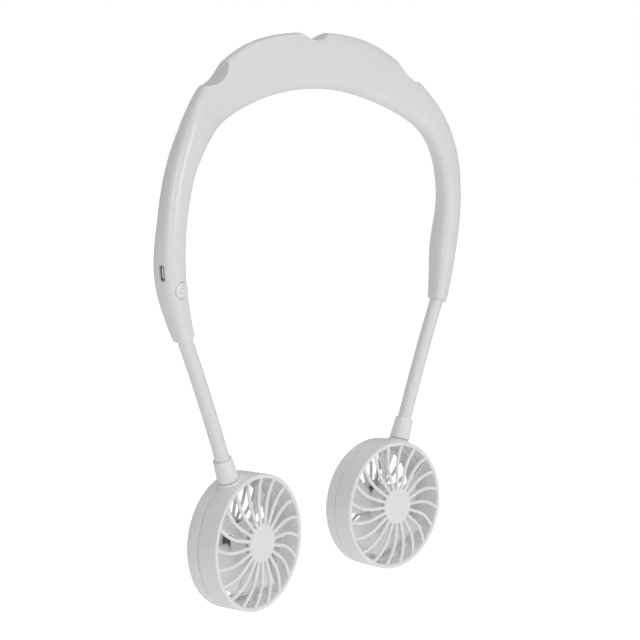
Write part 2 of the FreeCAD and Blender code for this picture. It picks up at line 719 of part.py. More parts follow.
def front_cover(side):
    shell = dome()
    front = HEAD_FRONT - 2 * DOME_RISE
    pattern = ribs(FRONT_DISC_RADIUS - RIB_SINK, HEAD_BORE + RIB_SINK, front, HEAD_SEAM)
    pattern.append(rod(FRONT_DISC_RADIUS, front, HEAD_SEAM))
    grille = [shell.common(piece) for piece in pattern]
    cover = front_ring().fuse(grille + [swivel_boss(-BOSS_RADIUS, HEAD_SEAM)])
    return placed(cover.cut(stem_hole()).removeSplitter(), head_place(side))


def rear_cover(side):
    half_turn = FreeCAD.Placement(ORIGIN, FreeCAD.Rotation(Z_AXIS, 180))
    pattern = ribs(REAR_DISC_RADIUS - RIB_SINK, BACK_RING + RIB_SINK, -HEAD_BACK, -BACK_FACE)
    pieces = [placed(rib, half_turn) for rib in pattern]
    pieces.append(rod(REAR_DISC_RADIUS, BACK_FACE, HEAD_BACK))
    cup_bore = MOTOR_RADIUS + SEAT_GAP
    pieces.append(tube(cup_bore + CUP_WALL, cup_bore, BACK_FACE - CUP_HEIGHT, BACK_FACE))
    pieces.append(swivel_boss(HEAD_SEAM + SEAM_GROOVE, BOSS_RADIUS))
    notch = block(
        Vector(-LIP_NOTCH / 2, HEAD_SEAM - 2 * LIP_DEPTH, 0),
        Vector(LIP_NOTCH / 2, HEAD_SEAM + SEAM_GROOVE + LIP_ROOT, REACH),
    ).common(rod(HEAD_BORE, -REACH, REACH))
    cover = rear_shell().fuse(pieces).cut([stem_hole(), notch])
    return placed(cover.removeSplitter(), head_place(side))


def blade_section(radius, chord, pitch):
    """Thin cambered outline square to the blade's own radius."""
    along = Vector(math.cos(math.radians(pitch)), math.sin(math.radians(pitch)), 0)
    normal = Vector(-along.y, along.x, 0)
    middle = Vector(0, BLADE_MIDDLE, radius)
    start = middle - along * (chord / 2)
    end = middle + along * (chord / 2)
    top = middle + normal * (chord * BLADE_CAMBER)
    skin = normal * (BLADE_THICKNESS / 2)
    return Part.Wire([
        Part.Arc(start + skin, top + skin, end + skin).toShape(),
        Part.makeLine(end + skin, end - skin),
        Part.Arc(end - skin, top - skin, start - skin).toShape(),
        Part.makeLine(start - skin, start + skin),
    ])


def impeller(side):
    root_radius = HUB_RADIUS - 2 * HUB_WALL
    sections = []
    for share in (0.0, 0.5, 1.0):
        sections.append(blade_section(
            root_radius + (TIP_BLADE_RADIUS + HUB_WALL - root_radius) * share,
            ROOT_CHORD + (TIP_CHORD - ROOT_CHORD) * share,
            ROOT_PITCH + (TIP_PITCH - ROOT_PITCH) * share,
        ))
    blade = Part.makeLoft(sections, True, False)
    blade = blade.common(tube(TIP_BLADE_RADIUS, HUB_RADIUS - HUB_WALL / 2, -REACH, REACH))
    blades = []
    for k in range(BLADE_COUNT):
        copy = blade.copy()
        copy.rotate(ORIGIN, Y_AXIS, BLADE_TURN[side] + 360.0 * k / BLADE_COUNT)
        blades.append(copy)
    bore = SHAFT_RADIUS + PRESS_CLEARANCE
    front_turn = Vector(HUB_RADIUS - HUB_EDGE, HUB_FRONT, 0)
    side_turn = Vector(HUB_RADIUS, HUB_FRONT + HUB_EDGE, 0)
    floor = HUB_FRONT + HUB_WALL
    corners = [
        side_turn,
        Vector(HUB_RADIUS, HUB_REAR, 0),
        Vector(HUB_RADIUS - HUB_WALL, HUB_REAR, 0),
        Vector(HUB_RADIUS - HUB_WALL, floor + HUB_EDGE, 0),
        Vector(HUB_RADIUS - HUB_WALL - HUB_EDGE, floor, 0),
        Vector(HUB_BOSS_RADIUS, floor, 0),
        Vector(HUB_BOSS_RADIUS, HUB_BOSS_END, 0),
        Vector(bore, HUB_BOSS_END, 0),
        Vector(bore, SHAFT_FRONT, 0),
        Vector(0, SHAFT_FRONT, 0),
        Vector(0, HUB_FRONT, 0),
        front_turn,
    ]
    profile = lines(corners)[:-1]
    profile.append(corner_arc(front_turn, side_turn, side_turn - X_AXIS * HUB_EDGE))
    hub = turned(profile, Y_AXIS)
    return placed(hub.fuse(blades).removeSplitter(), head_place(side))


def motor_shaft(side):
    shaft = rod(SHAFT_RADIUS, SHAFT_FRONT + SEAT_GAP, MOTOR_REAR - SHAFT_REAR_GAP)
    return placed(shaft, head_place(side))


def cap_front():
    return MOTOR_REAR - CAP_THICKNESS


def motor_can(side):
    can = rod(MOTOR_RADIUS, MOTOR_FRONT, cap_front())
    can = can.cut(rod(MOTOR_RADIUS - MOTOR_WALL, MOTOR_FRONT + MOTOR_WALL, cap_front()))
    return placed(can.cut(rod(BUSH_RADIUS + PRESS_CLEARANCE, -REACH, REACH)), head_place(side))


def motor_bush(side):
    bore = SHAFT_RADIUS + SHAFT_FIT
    return placed(tube(BUSH_RADIUS, bore, MOTOR_FRONT - BUSH_FRONT, MOTOR_FRONT + BUSH_REAR), head_place(side))


def motor_end_cap(side):
    plug_radius = MOTOR_RADIUS - MOTOR_WALL - SHAFT_FIT
    cap = rod(MOTOR_RADIUS, cap_front(), MOTOR_REAR).fuse(rod(plug_radius, cap_front() - CAP_PLUG, cap_front()))
    bearing = rod(SHAFT_RADIUS + SHAFT_FIT, cap_front() - CAP_PLUG, MOTOR_REAR - SHAFT_REAR_GAP + SEAT_GAP)
    return placed(cap.cut(bearing).removeSplitter(), head_place(side))


def stack_span():
    """Front and rear of the magnets and armature, in the middle of the can."""
    middle = (MOTOR_FRONT + BUSH_REAR + cap_front() - CAP_PLUG) / 2
    return middle - STACK_LENGTH / 2, middle + STACK_LENGTH / 2


def motor_magnets(side):
    """Curved magnets on the wall of the can."""
    outer = MOTOR_RADIUS - MOTOR_WALL - SHAFT_FIT
    front, rear = stack_span()
    magnets = []
    for k in range(MAGNET_COUNT):
        base = Y_AXIS * front
        sector = Part.makeCylinder(outer, rear - front, base, Y_AXIS, MAGNET_SPAN)
        sector.rotate(ORIGIN, Y_AXIS, 360.0 * k / MAGNET_COUNT)
        magnets.append(sector.cut(rod(outer - MAGNET_THICKNESS, front, rear)))
    return placed(Part.makeCompound(magnets), head_place(side))


def motor_armature(side):
    front, rear = stack_span()
    radius = MOTOR_RADIUS - MOTOR_WALL - SHAFT_FIT - MAGNET_THICKNESS - AIR_GAP
    return placed(tube(radius, SHAFT_RADIUS + PRESS_CLEARANCE, front, rear), head_place(side))


def head_lead(side):
    """Lead that runs up the rear grille from the motor cup and turns forward under the swivel stem."""
    depth = BACK_FACE - SEAT_GAP - HEAD_LEAD_RADIUS
    top = FLANGE_TOP - STEM_FLANGE - SWIVEL_GAP - HEAD_LEAD_RADIUS
    start = Vector(0, depth, MOTOR_RADIUS + CUP_WALL + 2 * SEAT_GAP)
    bend_start = Vector(0, depth, top - HEAD_LEAD_BEND)
    bend_end = Vector(0, depth - HEAD_LEAD_BEND, top)
    arc = corner_arc(bend_start, bend_end, Vector(0, depth - HEAD_LEAD_BEND, top - HEAD_LEAD_BEND))
    profile = Part.Wire(Part.makeCircle(HEAD_LEAD_RADIUS, start, Z_AXIS))
    lead = Part.Wire([Part.makeLine(start, bend_start), arc]).makePipeShell([profile], True, False)
    return placed(lead, head_place(side))


CENTRE_PIECES = (
    neckband_sleeve,
    spring_core,
    cross_lead,
    circuit_board,
    usb_socket,
    tact_switch,
    button_bezel,
    power_button,
)
SIDE_PIECES = (
    chassis,
    cell,
    gooseneck_anchor,
    gooseneck_sleeve,
    gooseneck_core,
    motor_lead,
    collar,
    front_cover,
    rear_cover,
    motor_can,
    motor_bush,
    motor_end_cap,
    motor_magnets,
    head_lead,
    impeller,
    motor_shaft,
    motor_armature,
)

for piece in CENTRE_PIECES:
    piece().exportStep("parts/" + piece.__name__ + ".step")
for side, name in ((-1, "left"), (1, "right")):
    for piece in SIDE_PIECES:
        piece(side).exportStep("parts/" + name + "_" + piece.__name__ + ".step")
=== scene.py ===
import json
import math

import bmesh
import bpy
import numpy as np
from bpy.props import FloatProperty, FloatVectorProperty, IntProperty, PointerProperty
from mathutils import Matrix, Vector


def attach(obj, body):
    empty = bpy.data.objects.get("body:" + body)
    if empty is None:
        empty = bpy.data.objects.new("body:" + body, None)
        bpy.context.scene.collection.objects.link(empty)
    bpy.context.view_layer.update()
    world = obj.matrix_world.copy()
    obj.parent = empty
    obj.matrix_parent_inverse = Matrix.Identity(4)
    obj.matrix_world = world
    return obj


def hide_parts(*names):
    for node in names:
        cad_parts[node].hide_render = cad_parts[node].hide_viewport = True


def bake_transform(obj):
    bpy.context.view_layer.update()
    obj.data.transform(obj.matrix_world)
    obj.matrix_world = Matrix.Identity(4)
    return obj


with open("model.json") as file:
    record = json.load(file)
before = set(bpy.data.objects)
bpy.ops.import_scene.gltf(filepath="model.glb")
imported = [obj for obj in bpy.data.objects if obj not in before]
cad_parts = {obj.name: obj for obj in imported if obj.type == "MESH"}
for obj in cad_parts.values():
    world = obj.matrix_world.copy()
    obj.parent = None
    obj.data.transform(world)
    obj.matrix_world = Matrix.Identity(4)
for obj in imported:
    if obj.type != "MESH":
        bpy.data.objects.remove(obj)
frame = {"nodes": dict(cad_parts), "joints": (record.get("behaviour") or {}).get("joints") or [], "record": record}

bl_info = {
    "name": "Neck fan",
    "version": (1, 0, 0),
    "blender": (4, 5, 0),
    "location": "View3D > Sidebar > Neck fan",
    "description": "Builds the looks of a neck fan over its CAD frame",
    "category": "Object",
}

SIDES = {"left": -1, "right": 1}
QUARTER = math.pi / 2
FULL = 2 * math.pi
BACKWARD = np.array((0.0, 1.0, 0.0))
UP_THE_SWIVEL = Matrix.Rotation(-QUARTER, 4, "X")
OUT_OF_THE_ARM = Matrix.Rotation(QUARTER, 4, "X")

# Half of the band's centreline from the middle of the crown: radius and sweep of each arc
BAND_ARCS = ((0.1545, 28.65), (0.0653, 48.8), (0.1163, 17.2), (0.1513, 15.2))
HALF_LENGTH = sum(radius * math.radians(sweep) for radius, sweep in BAND_ARCS)
# Shares of that half, and there the reach inward, reach outward, thickness and set-back
BAND_SHARES = (0.0, 0.22, 0.38, 0.52, 0.70, 0.85, 1.0)
BAND_SIZES = (
    (0.0148, 0.0146, 0.0132, 0.0083),
    (0.0137, 0.0154, 0.0129, 0.0079),
    (0.0114, 0.0114, 0.0121, 0.0051),
    (0.0086, 0.0082, 0.0122, 0.0002),
    (0.0074, 0.0075, 0.0126, -0.0002),
    (0.0073, 0.0073, 0.0147, 0.0022),
    (0.0049, 0.0053, 0.0106, 0.0),
)

# Density of the meshes
BAND_POINTS = 144
BAND_STEP = 0.0016
SCALLOP_STEP = 0.00045
SCALLOP_RUN = 0.0145
SECTION_POINTS = 1441
END_STEPS = 5
GOOSENECK_STOPS = 45
SMALL_ROUND = 48
ROUND = 72
FINE_ROUND = 96
LIP_ROUND = 120
RIM_ROUND = 192
RIB_SIDES = 14
RIDGE_SIDES = 12
BLADE_RINGS = 24
BLADE_POINTS = 25
WELD = 0.000002
POLE = 0.0002

# Band and arm ends
ARM_BORE_GAP = 0.00012
ARM_BORE_DEPTH = 0.0055
RIDGE_SPREAD = 0.82
RIDGE_SINK = 0.35
RIDGE_MARGIN = 0.0011
SHORTEST_RIDGE = 0.0004
SHALLOWEST_RIDGE = 0.0006

# Charging socket. The tongue's blocks: half width, front, back, foot and tip below the mouth
SLOT_GAP = 0.0003
SLOT_DEPTH = 0.0042
SLOT_OVER = 0.003
SOCKET_LEVEL = -0.00225
SOCKET_CORNER = 0.0007
SOCKET_WALL = 0.0003
SOCKET_RECESS = 0.00025
SOCKET_DEPTH = 0.0036
SOCKET_INSIDE = 0.0034
TONGUE = ((0.0026, -0.00290, -0.00205, 0.0036, 0.0003),
          (0.0033, -0.00310, -0.00140, 0.0035, 0.0030))

# Button, its bezel and its symbol, with heights from the arm's front face
HOLE_DEPTH = 0.006
BEZEL_GAP = 0.00022
BEZEL_FOOT = -0.0018
BEZEL_TOP = 0.0001
BEZEL_OUTER_EDGE = 0.0004
BEZEL_INNER_EDGE = 0.0003
BUTTON_GAP = 0.0001
BUTTON_STEM = 0.0012
BUTTON_FOOT = -0.0032
BUTTON_UNDERSIDE = -0.0022
BUTTON_SINK = 0.00025
BUTTON_RISE = 0.00033
BUTTON_EDGE = 0.0002
SYMBOL_RADIUS = 0.0015
SYMBOL_SWEEP = (2.2, FULL + 0.95)
SYMBOL_BAR = (0.0006, 0.0021)
SYMBOL_HALF_LINE = 0.00017
SYMBOL_RISE = 0.00004
SYMBOL_DEPTH = 0.0002

# Goosenecks and collars
ARM_INSERT = 0.0048
COLLAR_INSERT = 0.0060
COLLAR_GAP = 0.00006
COLLAR_SOCKET = 0.007
COLLAR_FOOT = 0.0021
COLLAR_LIP = 0.0014
COLLAR_STEP = 0.0001
COLLAR_EDGE = 0.0006
COLLAR_LIP_EDGE = 0.0004
COLLAR_BORE_EDGE = 0.0003
STEM_BORE = 0.0016
STEM_RADIUS = 0.0032
FLANGE_RADIUS = 0.0044
FLANGE_SINK = 0.003
FLANGE_THICKNESS = 0.001
FLANGE_EDGE = 0.0002

# Fan heads
BOSS_SINK = 0.0018
BOSS_EDGE = 0.0004
BOSS_POLE = 1e-5
HALF_SPACE = (0.02, 0.06)
STEM_HOLE = 0.00328
STEM_HOLE_BELOW = 0.0042
STEM_HOLE_ABOVE = 0.004
SEAM_EDGE = 0.0003
REAR_EDGE = 0.0005
RIB_OVERLAP = 0.001
DISC_EDGE = 0.0004
DISC_CHAMFER = (0.0001, 0.00012)
LIP_GAP = 0.00015
LIP_OVERLAP = 0.0001
LIP_HEIGHT = 0.002
LIP_DEPTH = 0.0016
LIP_INSIDE = 0.00135
LIP_NOTCH = 0.0055
CUP_INSIDE = 0.0091
CUP_OUTSIDE = 0.0105
CUP_HEIGHT = 0.002
CUP_SINK = 0.0002

# Impellers
HUB_WALL = 0.0011
HUB_FOOT_EDGE = 0.0003
HUB_INNER_EDGE = 0.0015
HUB_POLE = 0.0001
HUB_STEM = 0.0026
HUB_STEM_FOOT = 0.0036
SHAFT_BORE = 0.00102
SHAFT_END = 0.008
BLADE_ROOT = 0.0022
BLADE_SINK = 0.0005
BLADE_PAST_TIP = 0.0011

INNER_SLOTS = ("inner_plastic", "black_plastic", "steel", "motor_can", "magnet", "brass", "cell",
               "board", "lead")
# Slot: mottle, stretch, grain scale, roughness, relief, metal
FINISHES = {
    "silicone": (0.10, (1, 1, 1), 2600, 0.24, 0.04, 0.0),
    "white_plastic": (0.08, (1, 1, 1), 3000, 0.28, 0.04, 0.0),
    "bezel": (0.05, (1, 1, 1), 1500, 0.16, 0.04, 0.0),
    "symbol": (0.10, (1, 1, 1), 1500, 0.50, 0.05, 0.0),
    "inner_plastic": (0.15, (1, 1, 1), 2200, 0.60, 0.30, 0.0),
    "black_plastic": (0.20, (1, 1, 1), 2200, 0.45, 0.25, 0.0),
    "steel": (0.30, (1, 1, 9), 900, 0.30, 0.20, 1.0),
    "motor_can": (0.35, (1, 9, 1), 700, 0.38, 0.20, 0.8),
    "magnet": (0.40, (1, 1, 1), 1800, 0.70, 0.60, 0.2),
    "brass": (0.30, (1, 9, 1), 900, 0.32, 0.15, 1.0),
    "cell": (0.25, (1, 1, 1), 500, 0.35, 0.50, 0.9),
    "board": (0.35, (1, 1, 1), 1200, 0.40, 0.25, 0.0),
    "lead": (0.20, (1, 1, 1), 1600, 0.55, 0.20, 0.0),
}

# Slots with a clear coat: its weight and roughness. Then the grain that all slots share
COATS = {"silicone": (0.35, 0.22), "bezel": (0.6, 0.05), "board": (0.2, 0.10)}
NO_COAT = (0.0, 0.03)
MOTTLE_SCALE = 60.0
MOTTLE_SHADE = (0.72, 0.72, 0.74, 1.0)
ROUGHNESS_SWING = 0.05
GRAIN_HEIGHT = 0.00008

# Stage: place and size of each light, and the camera found from the photograph
LIGHT_TARGET = Vector((0.0, 0.0, -0.12))
LIGHTS = {
    "top": ((0.3, -0.2, 1.1), (1.5, 1.5)),
    "key": ((0.3, -1.5, 0.35), (0.22, 1.5)),
    "fill": ((-1.05, -1.1, 0.2), (0.16, 1.5)),
    "back": ((0.5, 1.5, 0.1), (1.2, 1.2)),
}
FLOOR_REACH = 6.0
FLOOR_ROUGHNESS = 0.9
WHITE = (1.0, 1.0, 1.0, 1.0)
CAMERA_PLACE = (-0.7381, -0.6652, 0.0290)
CAMERA_TURNS = (48.34, 8.70, 0.77)
SENSOR_WIDTH = 36.0
NEAREST_SEEN = 0.01


def length(name, description, default):
    return FloatProperty(name=name, description=description, default=default, unit="LENGTH",
                         precision=5)


def angle(name, description, degrees):
    return FloatProperty(name=name, description=description, default=math.radians(degrees),
                         subtype="ANGLE")


def share(name, description, default):
    return FloatProperty(name=name, description=description, default=default, min=0.0, max=1.0,
                         subtype="FACTOR")


def amount(name, description, default):
    return FloatProperty(name=name, description=description, default=default, min=0.0)


def count(name, description, default):
    return IntProperty(name=name, description=description, default=default, min=1)


def power(name, description, default):
    return FloatProperty(name=name, description=description, default=default, min=0.0,
                         unit="POWER")


def colour(name, description, default):
    return FloatVectorProperty(name=name, description=description, default=default, size=3,
                               subtype="COLOR", min=0.0, max=1.0)


class NeckFanBand(bpy.types.PropertyGroup):
    squareness: amount("Squareness", "Exponent of the rounded section", 2.6)
    scallop_radius: length("Scallop radius", "Radius of each flex scallop", 0.017)
    scallop_depth: length("Scallop depth", "Depth of each flex scallop", 0.004)
    scallop_spacing: length("Scallop spacing", "Run along the band between scallops", 0.0738)
    scallop_edge: length("Scallop edge", "Rounding of a scallop's rim", 0.0005)
    end_edge: length("End edge", "Rounding of an arm's end", 0.0007)
    ridge_pitch: length("Ridge pitch", "Spacing of the grip ridges in a scallop", 0.0013)
    ridge_radius: length("Ridge radius", "Half width of a grip ridge", 0.0003)


class NeckFanControls(bpy.types.PropertyGroup):
    run: length("Board run", "Distance of the controls from the arm end", 0.0312)
    socket_offset: length("Socket offset", "Charging socket's middle, along the arm", 0.0046)
    socket_width: length("Socket width", "Width of the charging socket's shell", 0.0075)
    socket_height: length("Socket height", "Height of the charging socket's shell", 0.0025)
    button_offset: length("Button offset", "Button's middle, along the arm", -0.0054)
    button_side: length("Button side", "Button's middle, towards the outer edge", -0.0005)
    button_radius: length("Button radius", "Radius of the button", 0.0032)
    bezel_width: length("Bezel width", "Width of the ring round the button", 0.0008)


class NeckFanArms(bpy.types.PropertyGroup):
    run: length("Gooseneck length", "Free length between arm and collar", 0.0705)
    top_angle: angle("Top angle", "Lean of the gooseneck at the arm", 24.7)
    bottom_angle: angle("Bottom angle", "Lean of the gooseneck at the collar", 20.5)
    radius: length("Gooseneck radius", "Radius of the silicone tube", 0.00395)
    collar_run: length("Collar length", "Length of the collar", 0.0121)
    collar_top: length("Collar top radius", "Collar's radius at the gooseneck", 0.00505)
    collar_bottom: length("Collar bottom radius", "Collar's radius at the head", 0.00575)


class NeckFanHead(bpy.types.PropertyGroup):
    radius: length("Head radius", "Outer radius of a fan head", 0.036)
    wall: length("Head wall", "Thickness of the side wall", 0.0024)
    front: length("Front edge place", "Front edge ahead of the swivel axis", 0.0102)
    seam: length("Seam place", "Seam behind the swivel axis", 0.0018)
    groove: length("Seam groove", "Width of the seam", 0.0005)
    back: length("Back place", "Back face behind the swivel axis", 0.0113)
    front_edge: length("Front edge", "Rounding of the front edge", 0.0011)
    back_edge: length("Back edge", "Rounding of the back edge", 0.004)
    plate: length("Back plate", "Thickness of the back", 0.0018)
    ring: length("Back ring", "Width of the plain ring round the rear grille", 0.0055)
    boss_radius: length("Boss radius", "Radius of the swivel boss", 0.0063)
    boss_height: length("Boss height", "Height of the swivel boss on the rim", 0.0009)
    swivel_gap: length("Swivel gap", "Gap between boss and collar", 0.0004)
    dome_rise: length("Dome rise", "Rise of the front grille", 0.0024)
    dome_thickness: length("Dome thickness", "Thickness of the front grille", 0.0019)
    front_disc: length("Front disc", "Radius of the front grille's disc", 0.010)
    rear_disc: length("Rear disc", "Radius of the rear grille's disc", 0.0115)
    ribs: count("Ribs", "Ribs in each grille", 20)
    rib_width: length("Rib width", "Width of a rib", 0.0020)
    rib_straight: length("Straight radius", "Radius where the ribs start to sweep", 0.018)
    rib_bend: length("Rib bend", "Radius of the ribs' sweep", 0.026)


class NeckFanImpeller(bpy.types.PropertyGroup):
    blades: count("Blades", "Blades of an impeller", 5)
    tip_radius: length("Tip radius", "Radius of the blade tips", 0.0298)
    tip_chord: length("Tip chord", "Width of a blade at its tip", 0.0285)
    root_chord: length("Root chord", "Width of a blade at the hub", 0.0145)
    tip_pitch: angle("Tip pitch", "Pitch of a blade at its tip", 22.0)
    root_pitch: angle("Root pitch", "Pitch of a blade at the hub", 48.0)
    camber: share("Camber", "Camber as a share of the chord", 0.09)
    thickness: length("Blade thickness", "Thickness of a blade", 0.0012)
    middle: length("Blade middle", "Middle of the blades ahead of the swivel axis", 0.0013)
    left_turn: angle("Left turn", "Turn of the left impeller at rest", 48.0)
    right_turn: angle("Right turn", "Turn of the right impeller at rest", 56.0)
    hub_radius: length("Hub radius", "Radius of the hub", 0.011)
    hub_front: length("Hub front", "Front of the hub ahead of the swivel axis", 0.0085)
    hub_rear: length("Hub rear", "Rear of the hub ahead of the swivel axis", -0.001)
    hub_edge: length("Hub edge", "Rounding of the hub", 0.002)


class NeckFanLook(bpy.types.PropertyGroup):
    silicone: colour("Silicone", "Band and goosenecks", (0.87, 0.87, 0.88))
    white_plastic: colour("White plastic", "Heads, collars and button", (0.93, 0.93, 0.94))
    bezel: colour("Bezel", "Ring round the button", (0.97, 0.97, 0.98))
    symbol: colour("Symbol", "Power symbol on the button", (0.62, 0.62, 0.64))
    inner_plastic: colour("Inner plastic", "Trays and anchors", (0.80, 0.80, 0.80))
    black_plastic: colour("Black plastic", "Switch and end caps", (0.02, 0.02, 0.02))
    steel: colour("Steel", "Shafts, socket shell and spring", (0.72, 0.72, 0.73))
    motor_can: colour("Motor can", "Drawn motor cans", (0.20, 0.20, 0.21))
    magnet: colour("Magnet", "Magnets and armatures", (0.03, 0.03, 0.03))
    brass: colour("Brass", "Bushes", (0.65, 0.47, 0.20))
    cell: colour("Cell", "Cell pouches", (0.55, 0.57, 0.59))
    board: colour("Board", "Circuit board", (0.02, 0.11, 0.05))
    lead: colour("Lead", "Insulation of the leads", (0.60, 0.60, 0.61))


class NeckFanStage(bpy.types.PropertyGroup):
    floor_drop: length("Floor drop", "Height of the floor below the neck rest", 0.62)
    floor_colour: colour("Floor colour", "Pale floor", (0.92, 0.92, 0.92))
    floor_glow: amount("Floor glow", "Light that the floor gives back", 0.16)
    ambient: amount("Ambient", "Strength of the surrounding light", 0.34)
    top_power: power("Top light", "Power of the overhead softbox", 4.0)
    key_power: power("Key light", "Power of the front light", 5.0)
    fill_power: power("Fill light", "Power of the light beside the camera", 4.4)
    back_power: power("Back light", "Power of the light behind", 4.0)
    lens: FloatProperty(name="Lens", description="Focal length of the camera", default=105.4,
                        unit="CAMERA")


def group(name):
    """One of the scene's groups of sizes or colours."""
    return getattr(bpy.context.scene, "neck_fan_" + name)


def joint(name):
    return next(entry for entry in frame["joints"] if entry["name"] == name)


def head_matrix(side):
    """Placement of a fan head: x to its side, y up the swivel axis and z to the front."""
    swivel = joint(side + "_head_swivel")
    y = Vector(swivel["axis"]).normalized()
    z = Vector(joint(side + "_impeller_spin")["axis"]).normalized()
    place = Matrix((y.cross(z), y, z)).transposed().to_4x4()
    place.translation = Vector(swivel["pos_m"])
    return place


def collar_base():
    """Distance of the collar's lower end from the middle of a head."""
    head = group("head")
    return head.radius + head.boss_height + head.swivel_gap


def band_size(run):
    """Reach inward, reach outward, thickness and set-back of the band at a run from its middle."""
    place = min(abs(run) / HALF_LENGTH, 1.0)
    row = max(k for k in range(len(BAND_SHARES) - 1) if BAND_SHARES[k] <= place)
    span = BAND_SHARES[row + 1] - BAND_SHARES[row]
    t = (place - BAND_SHARES[row]) / span
    sizes = np.array(BAND_SIZES)

    def slope(k):
        if k == 0:
            return np.zeros(4)
        ahead = min(k + 1, len(BAND_SHARES) - 1)
        return (sizes[ahead] - sizes[k - 1]) / (BAND_SHARES[ahead] - BAND_SHARES[k - 1])

    return (sizes[row] * (2 * t**3 - 3 * t**2 + 1) + slope(row) * span * (t**3 - 2 * t**2 + t)
            + sizes[row + 1] * (3 * t**2 - 2 * t**3) + slope(row + 1) * span * (t**3 - t**2))


def band_frame(run):
    """Centre of the band, its outward and its left-to-right direction. Left runs are negative."""
    side = math.copysign(1.0, run)
    left = abs(run)
    x = 0.0
    z = BAND_SIZES[0][0]
    turn = 0.0
    for radius, sweep in BAND_ARCS:
        step = min(left / radius, math.radians(sweep))
        x += radius * (math.sin(turn + step) - math.sin(turn))
        z += radius * (math.cos(turn + step) - math.cos(turn))
        turn += step
        left -= radius * step
    y = band_size(run)[3] - BAND_SIZES[0][3]
    return (np.array((side * x, y, z)), np.array((side * math.sin(turn), 0.0, math.cos(turn))),
            np.array((math.cos(turn), 0.0, -side * math.sin(turn))))


def controls_place():
    """Placement at the controls on the left arm: x along it, y to the back and z outward."""
    centre, outward, along = band_frame(group("controls").run - HALF_LENGTH)
    place = Matrix((along, BACKWARD, outward)).transposed().to_4x4()
    place.translation = Vector(centre)
    return place


def gooseneck_point(side, lean):
    """Point of a gooseneck's centreline where it leans by an angle, and the direction up it."""
    arms = group("arms")
    bend = arms.run / (arms.top_angle - arms.bottom_angle)
    sign = SIDES[side]
    place = head_matrix(side)
    foot = place.translation + place.col[1].to_3d() * (collar_base() + arms.collar_run)
    across = sign * bend * (math.cos(arms.bottom_angle) - math.cos(lean))
    rise = bend * (math.sin(lean) - math.sin(arms.bottom_angle))
    return (foot + Vector((across, 0.0, rise)),
            Vector((sign * math.sin(lean), 0.0, math.cos(lean))))


def tube_mesh(rings, wrap=False):
    """Points and faces of a tube through rings: wrapped into a loop, or capped at both ends."""
    total, ring = rings.shape[:2]
    faces = []
    for i in range(total if wrap else total - 1):
        here = i * ring
        ahead = (i + 1) % total * ring
        for k in range(ring):
            n = (k + 1) % ring
            faces.append((here + k, here + n, ahead + n, ahead + k))
    points = rings.reshape(-1, 3)
    if not wrap:
        caps = np.array((rings[0].mean(0), rings[-1].mean(0)))
        points = np.vstack((points, caps))
        start = len(points) - 2
        last = (total - 1) * ring
        for k in range(ring):
            n = (k + 1) % ring
            faces.append((start, n, k))
            faces.append((start + 1, last + k, last + n))
    return points, faces


def rounded_corners(corners, steps=6):
    """Outline with its corners rounded. Each corner is (across, height, radius)."""
    outline = []
    for k, (x, y, radius) in enumerate(corners):
        here = Vector((x, y))
        before = (Vector(corners[k - 1][:2]) - here).normalized()
        after = (Vector(corners[(k + 1) % len(corners)][:2]) - here).normalized()
        if radius <= 0.0 or abs(before.dot(after)) > 0.9999:
            outline.append(here)
            continue
        half = math.acos(max(-1.0, min(1.0, before.dot(after)))) / 2
        middle = here + (before + after).normalized() * (radius / math.sin(half))
        start = here + before * (radius / math.tan(half)) - middle
        end = here + after * (radius / math.tan(half)) - middle
        sweep = start.angle_signed(end)
        for step in range(steps + 1):
            outline.append(middle + Matrix.Rotation(-sweep * step / steps, 2) @ start)
    return outline


def lathe(outline, segments, first=0.0, last=FULL):
    """Closed outline of (radius, height) turned about z, all round or between two angles."""
    profile = np.array([(point[0], point[1]) for point in outline])
    whole = last - first > FULL - 1e-6
    angles = np.linspace(first, last, segments, endpoint=not whole)
    rings = np.empty((segments, len(profile), 3))
    rings[:, :, 0] = np.cos(angles)[:, None] * profile[None, :, 0]
    rings[:, :, 1] = np.sin(angles)[:, None] * profile[None, :, 0]
    rings[:, :, 2] = profile[None, :, 1]
    return tube_mesh(rings, whole)


def turned(outline, segments):
    """Outline of (radius, height) turned about z, with both its ends closed to the axis."""
    angles = np.linspace(0.0, FULL, segments, endpoint=False)
    return tube_mesh(np.array([[(r * math.cos(a), r * math.sin(a), h) for a in angles]
                               for r, h in outline]))


def block(low, high):
    """Box between two corners."""
    points = [(x, y, z) for x in (low[0], high[0]) for y in (low[1], high[1])
              for z in (low[2], high[2])]
    faces = [(0, 1, 3, 2), (4, 6, 7, 5), (0, 4, 5, 1), (2, 3, 7, 6), (0, 2, 6, 4), (1, 5, 7, 3)]
    return np.array(points), faces


def new_mesh(name, points, edges=(), faces=()):
    mesh = bpy.data.meshes.new(name)
    mesh.from_pydata(points, edges, faces)
    return mesh


def add_object(name, data):
    obj = bpy.data.objects.new(name, data)
    bpy.context.collection.objects.link(obj)
    return obj


def make(name, shells, place=None):
    """Object of closed shells with outward faces. A placement is baked into the mesh."""
    points = []
    faces = []
    for shell_points, shell_faces in shells:
        start = len(points)
        points.extend(map(tuple, shell_points))
        faces.extend(tuple(index + start for index in face) for face in shell_faces)
    mesh = new_mesh(name, points, faces=faces)
    work = bmesh.new()
    work.from_mesh(mesh)
    bmesh.ops.recalc_face_normals(work, faces=work.faces)
    work.to_mesh(mesh)
    work.free()
    if place:
        mesh.transform(place)
    return add_object(name, mesh)


def dress(obj, slot, sharp=40.0):
    """Gives an object its slot's material and smooth shading with sharp corners."""
    obj.data.materials.clear()
    obj.data.materials.append(material(slot))
    obj.data.polygons.foreach_set("material_index", [0] * len(obj.data.polygons))
    obj.data.shade_smooth()
    obj.data.set_sharp_from_angle(angle=math.radians(sharp))
    return obj


def drop(obj):
    mesh = obj.data
    bpy.data.objects.remove(obj)
    bpy.data.meshes.remove(mesh)


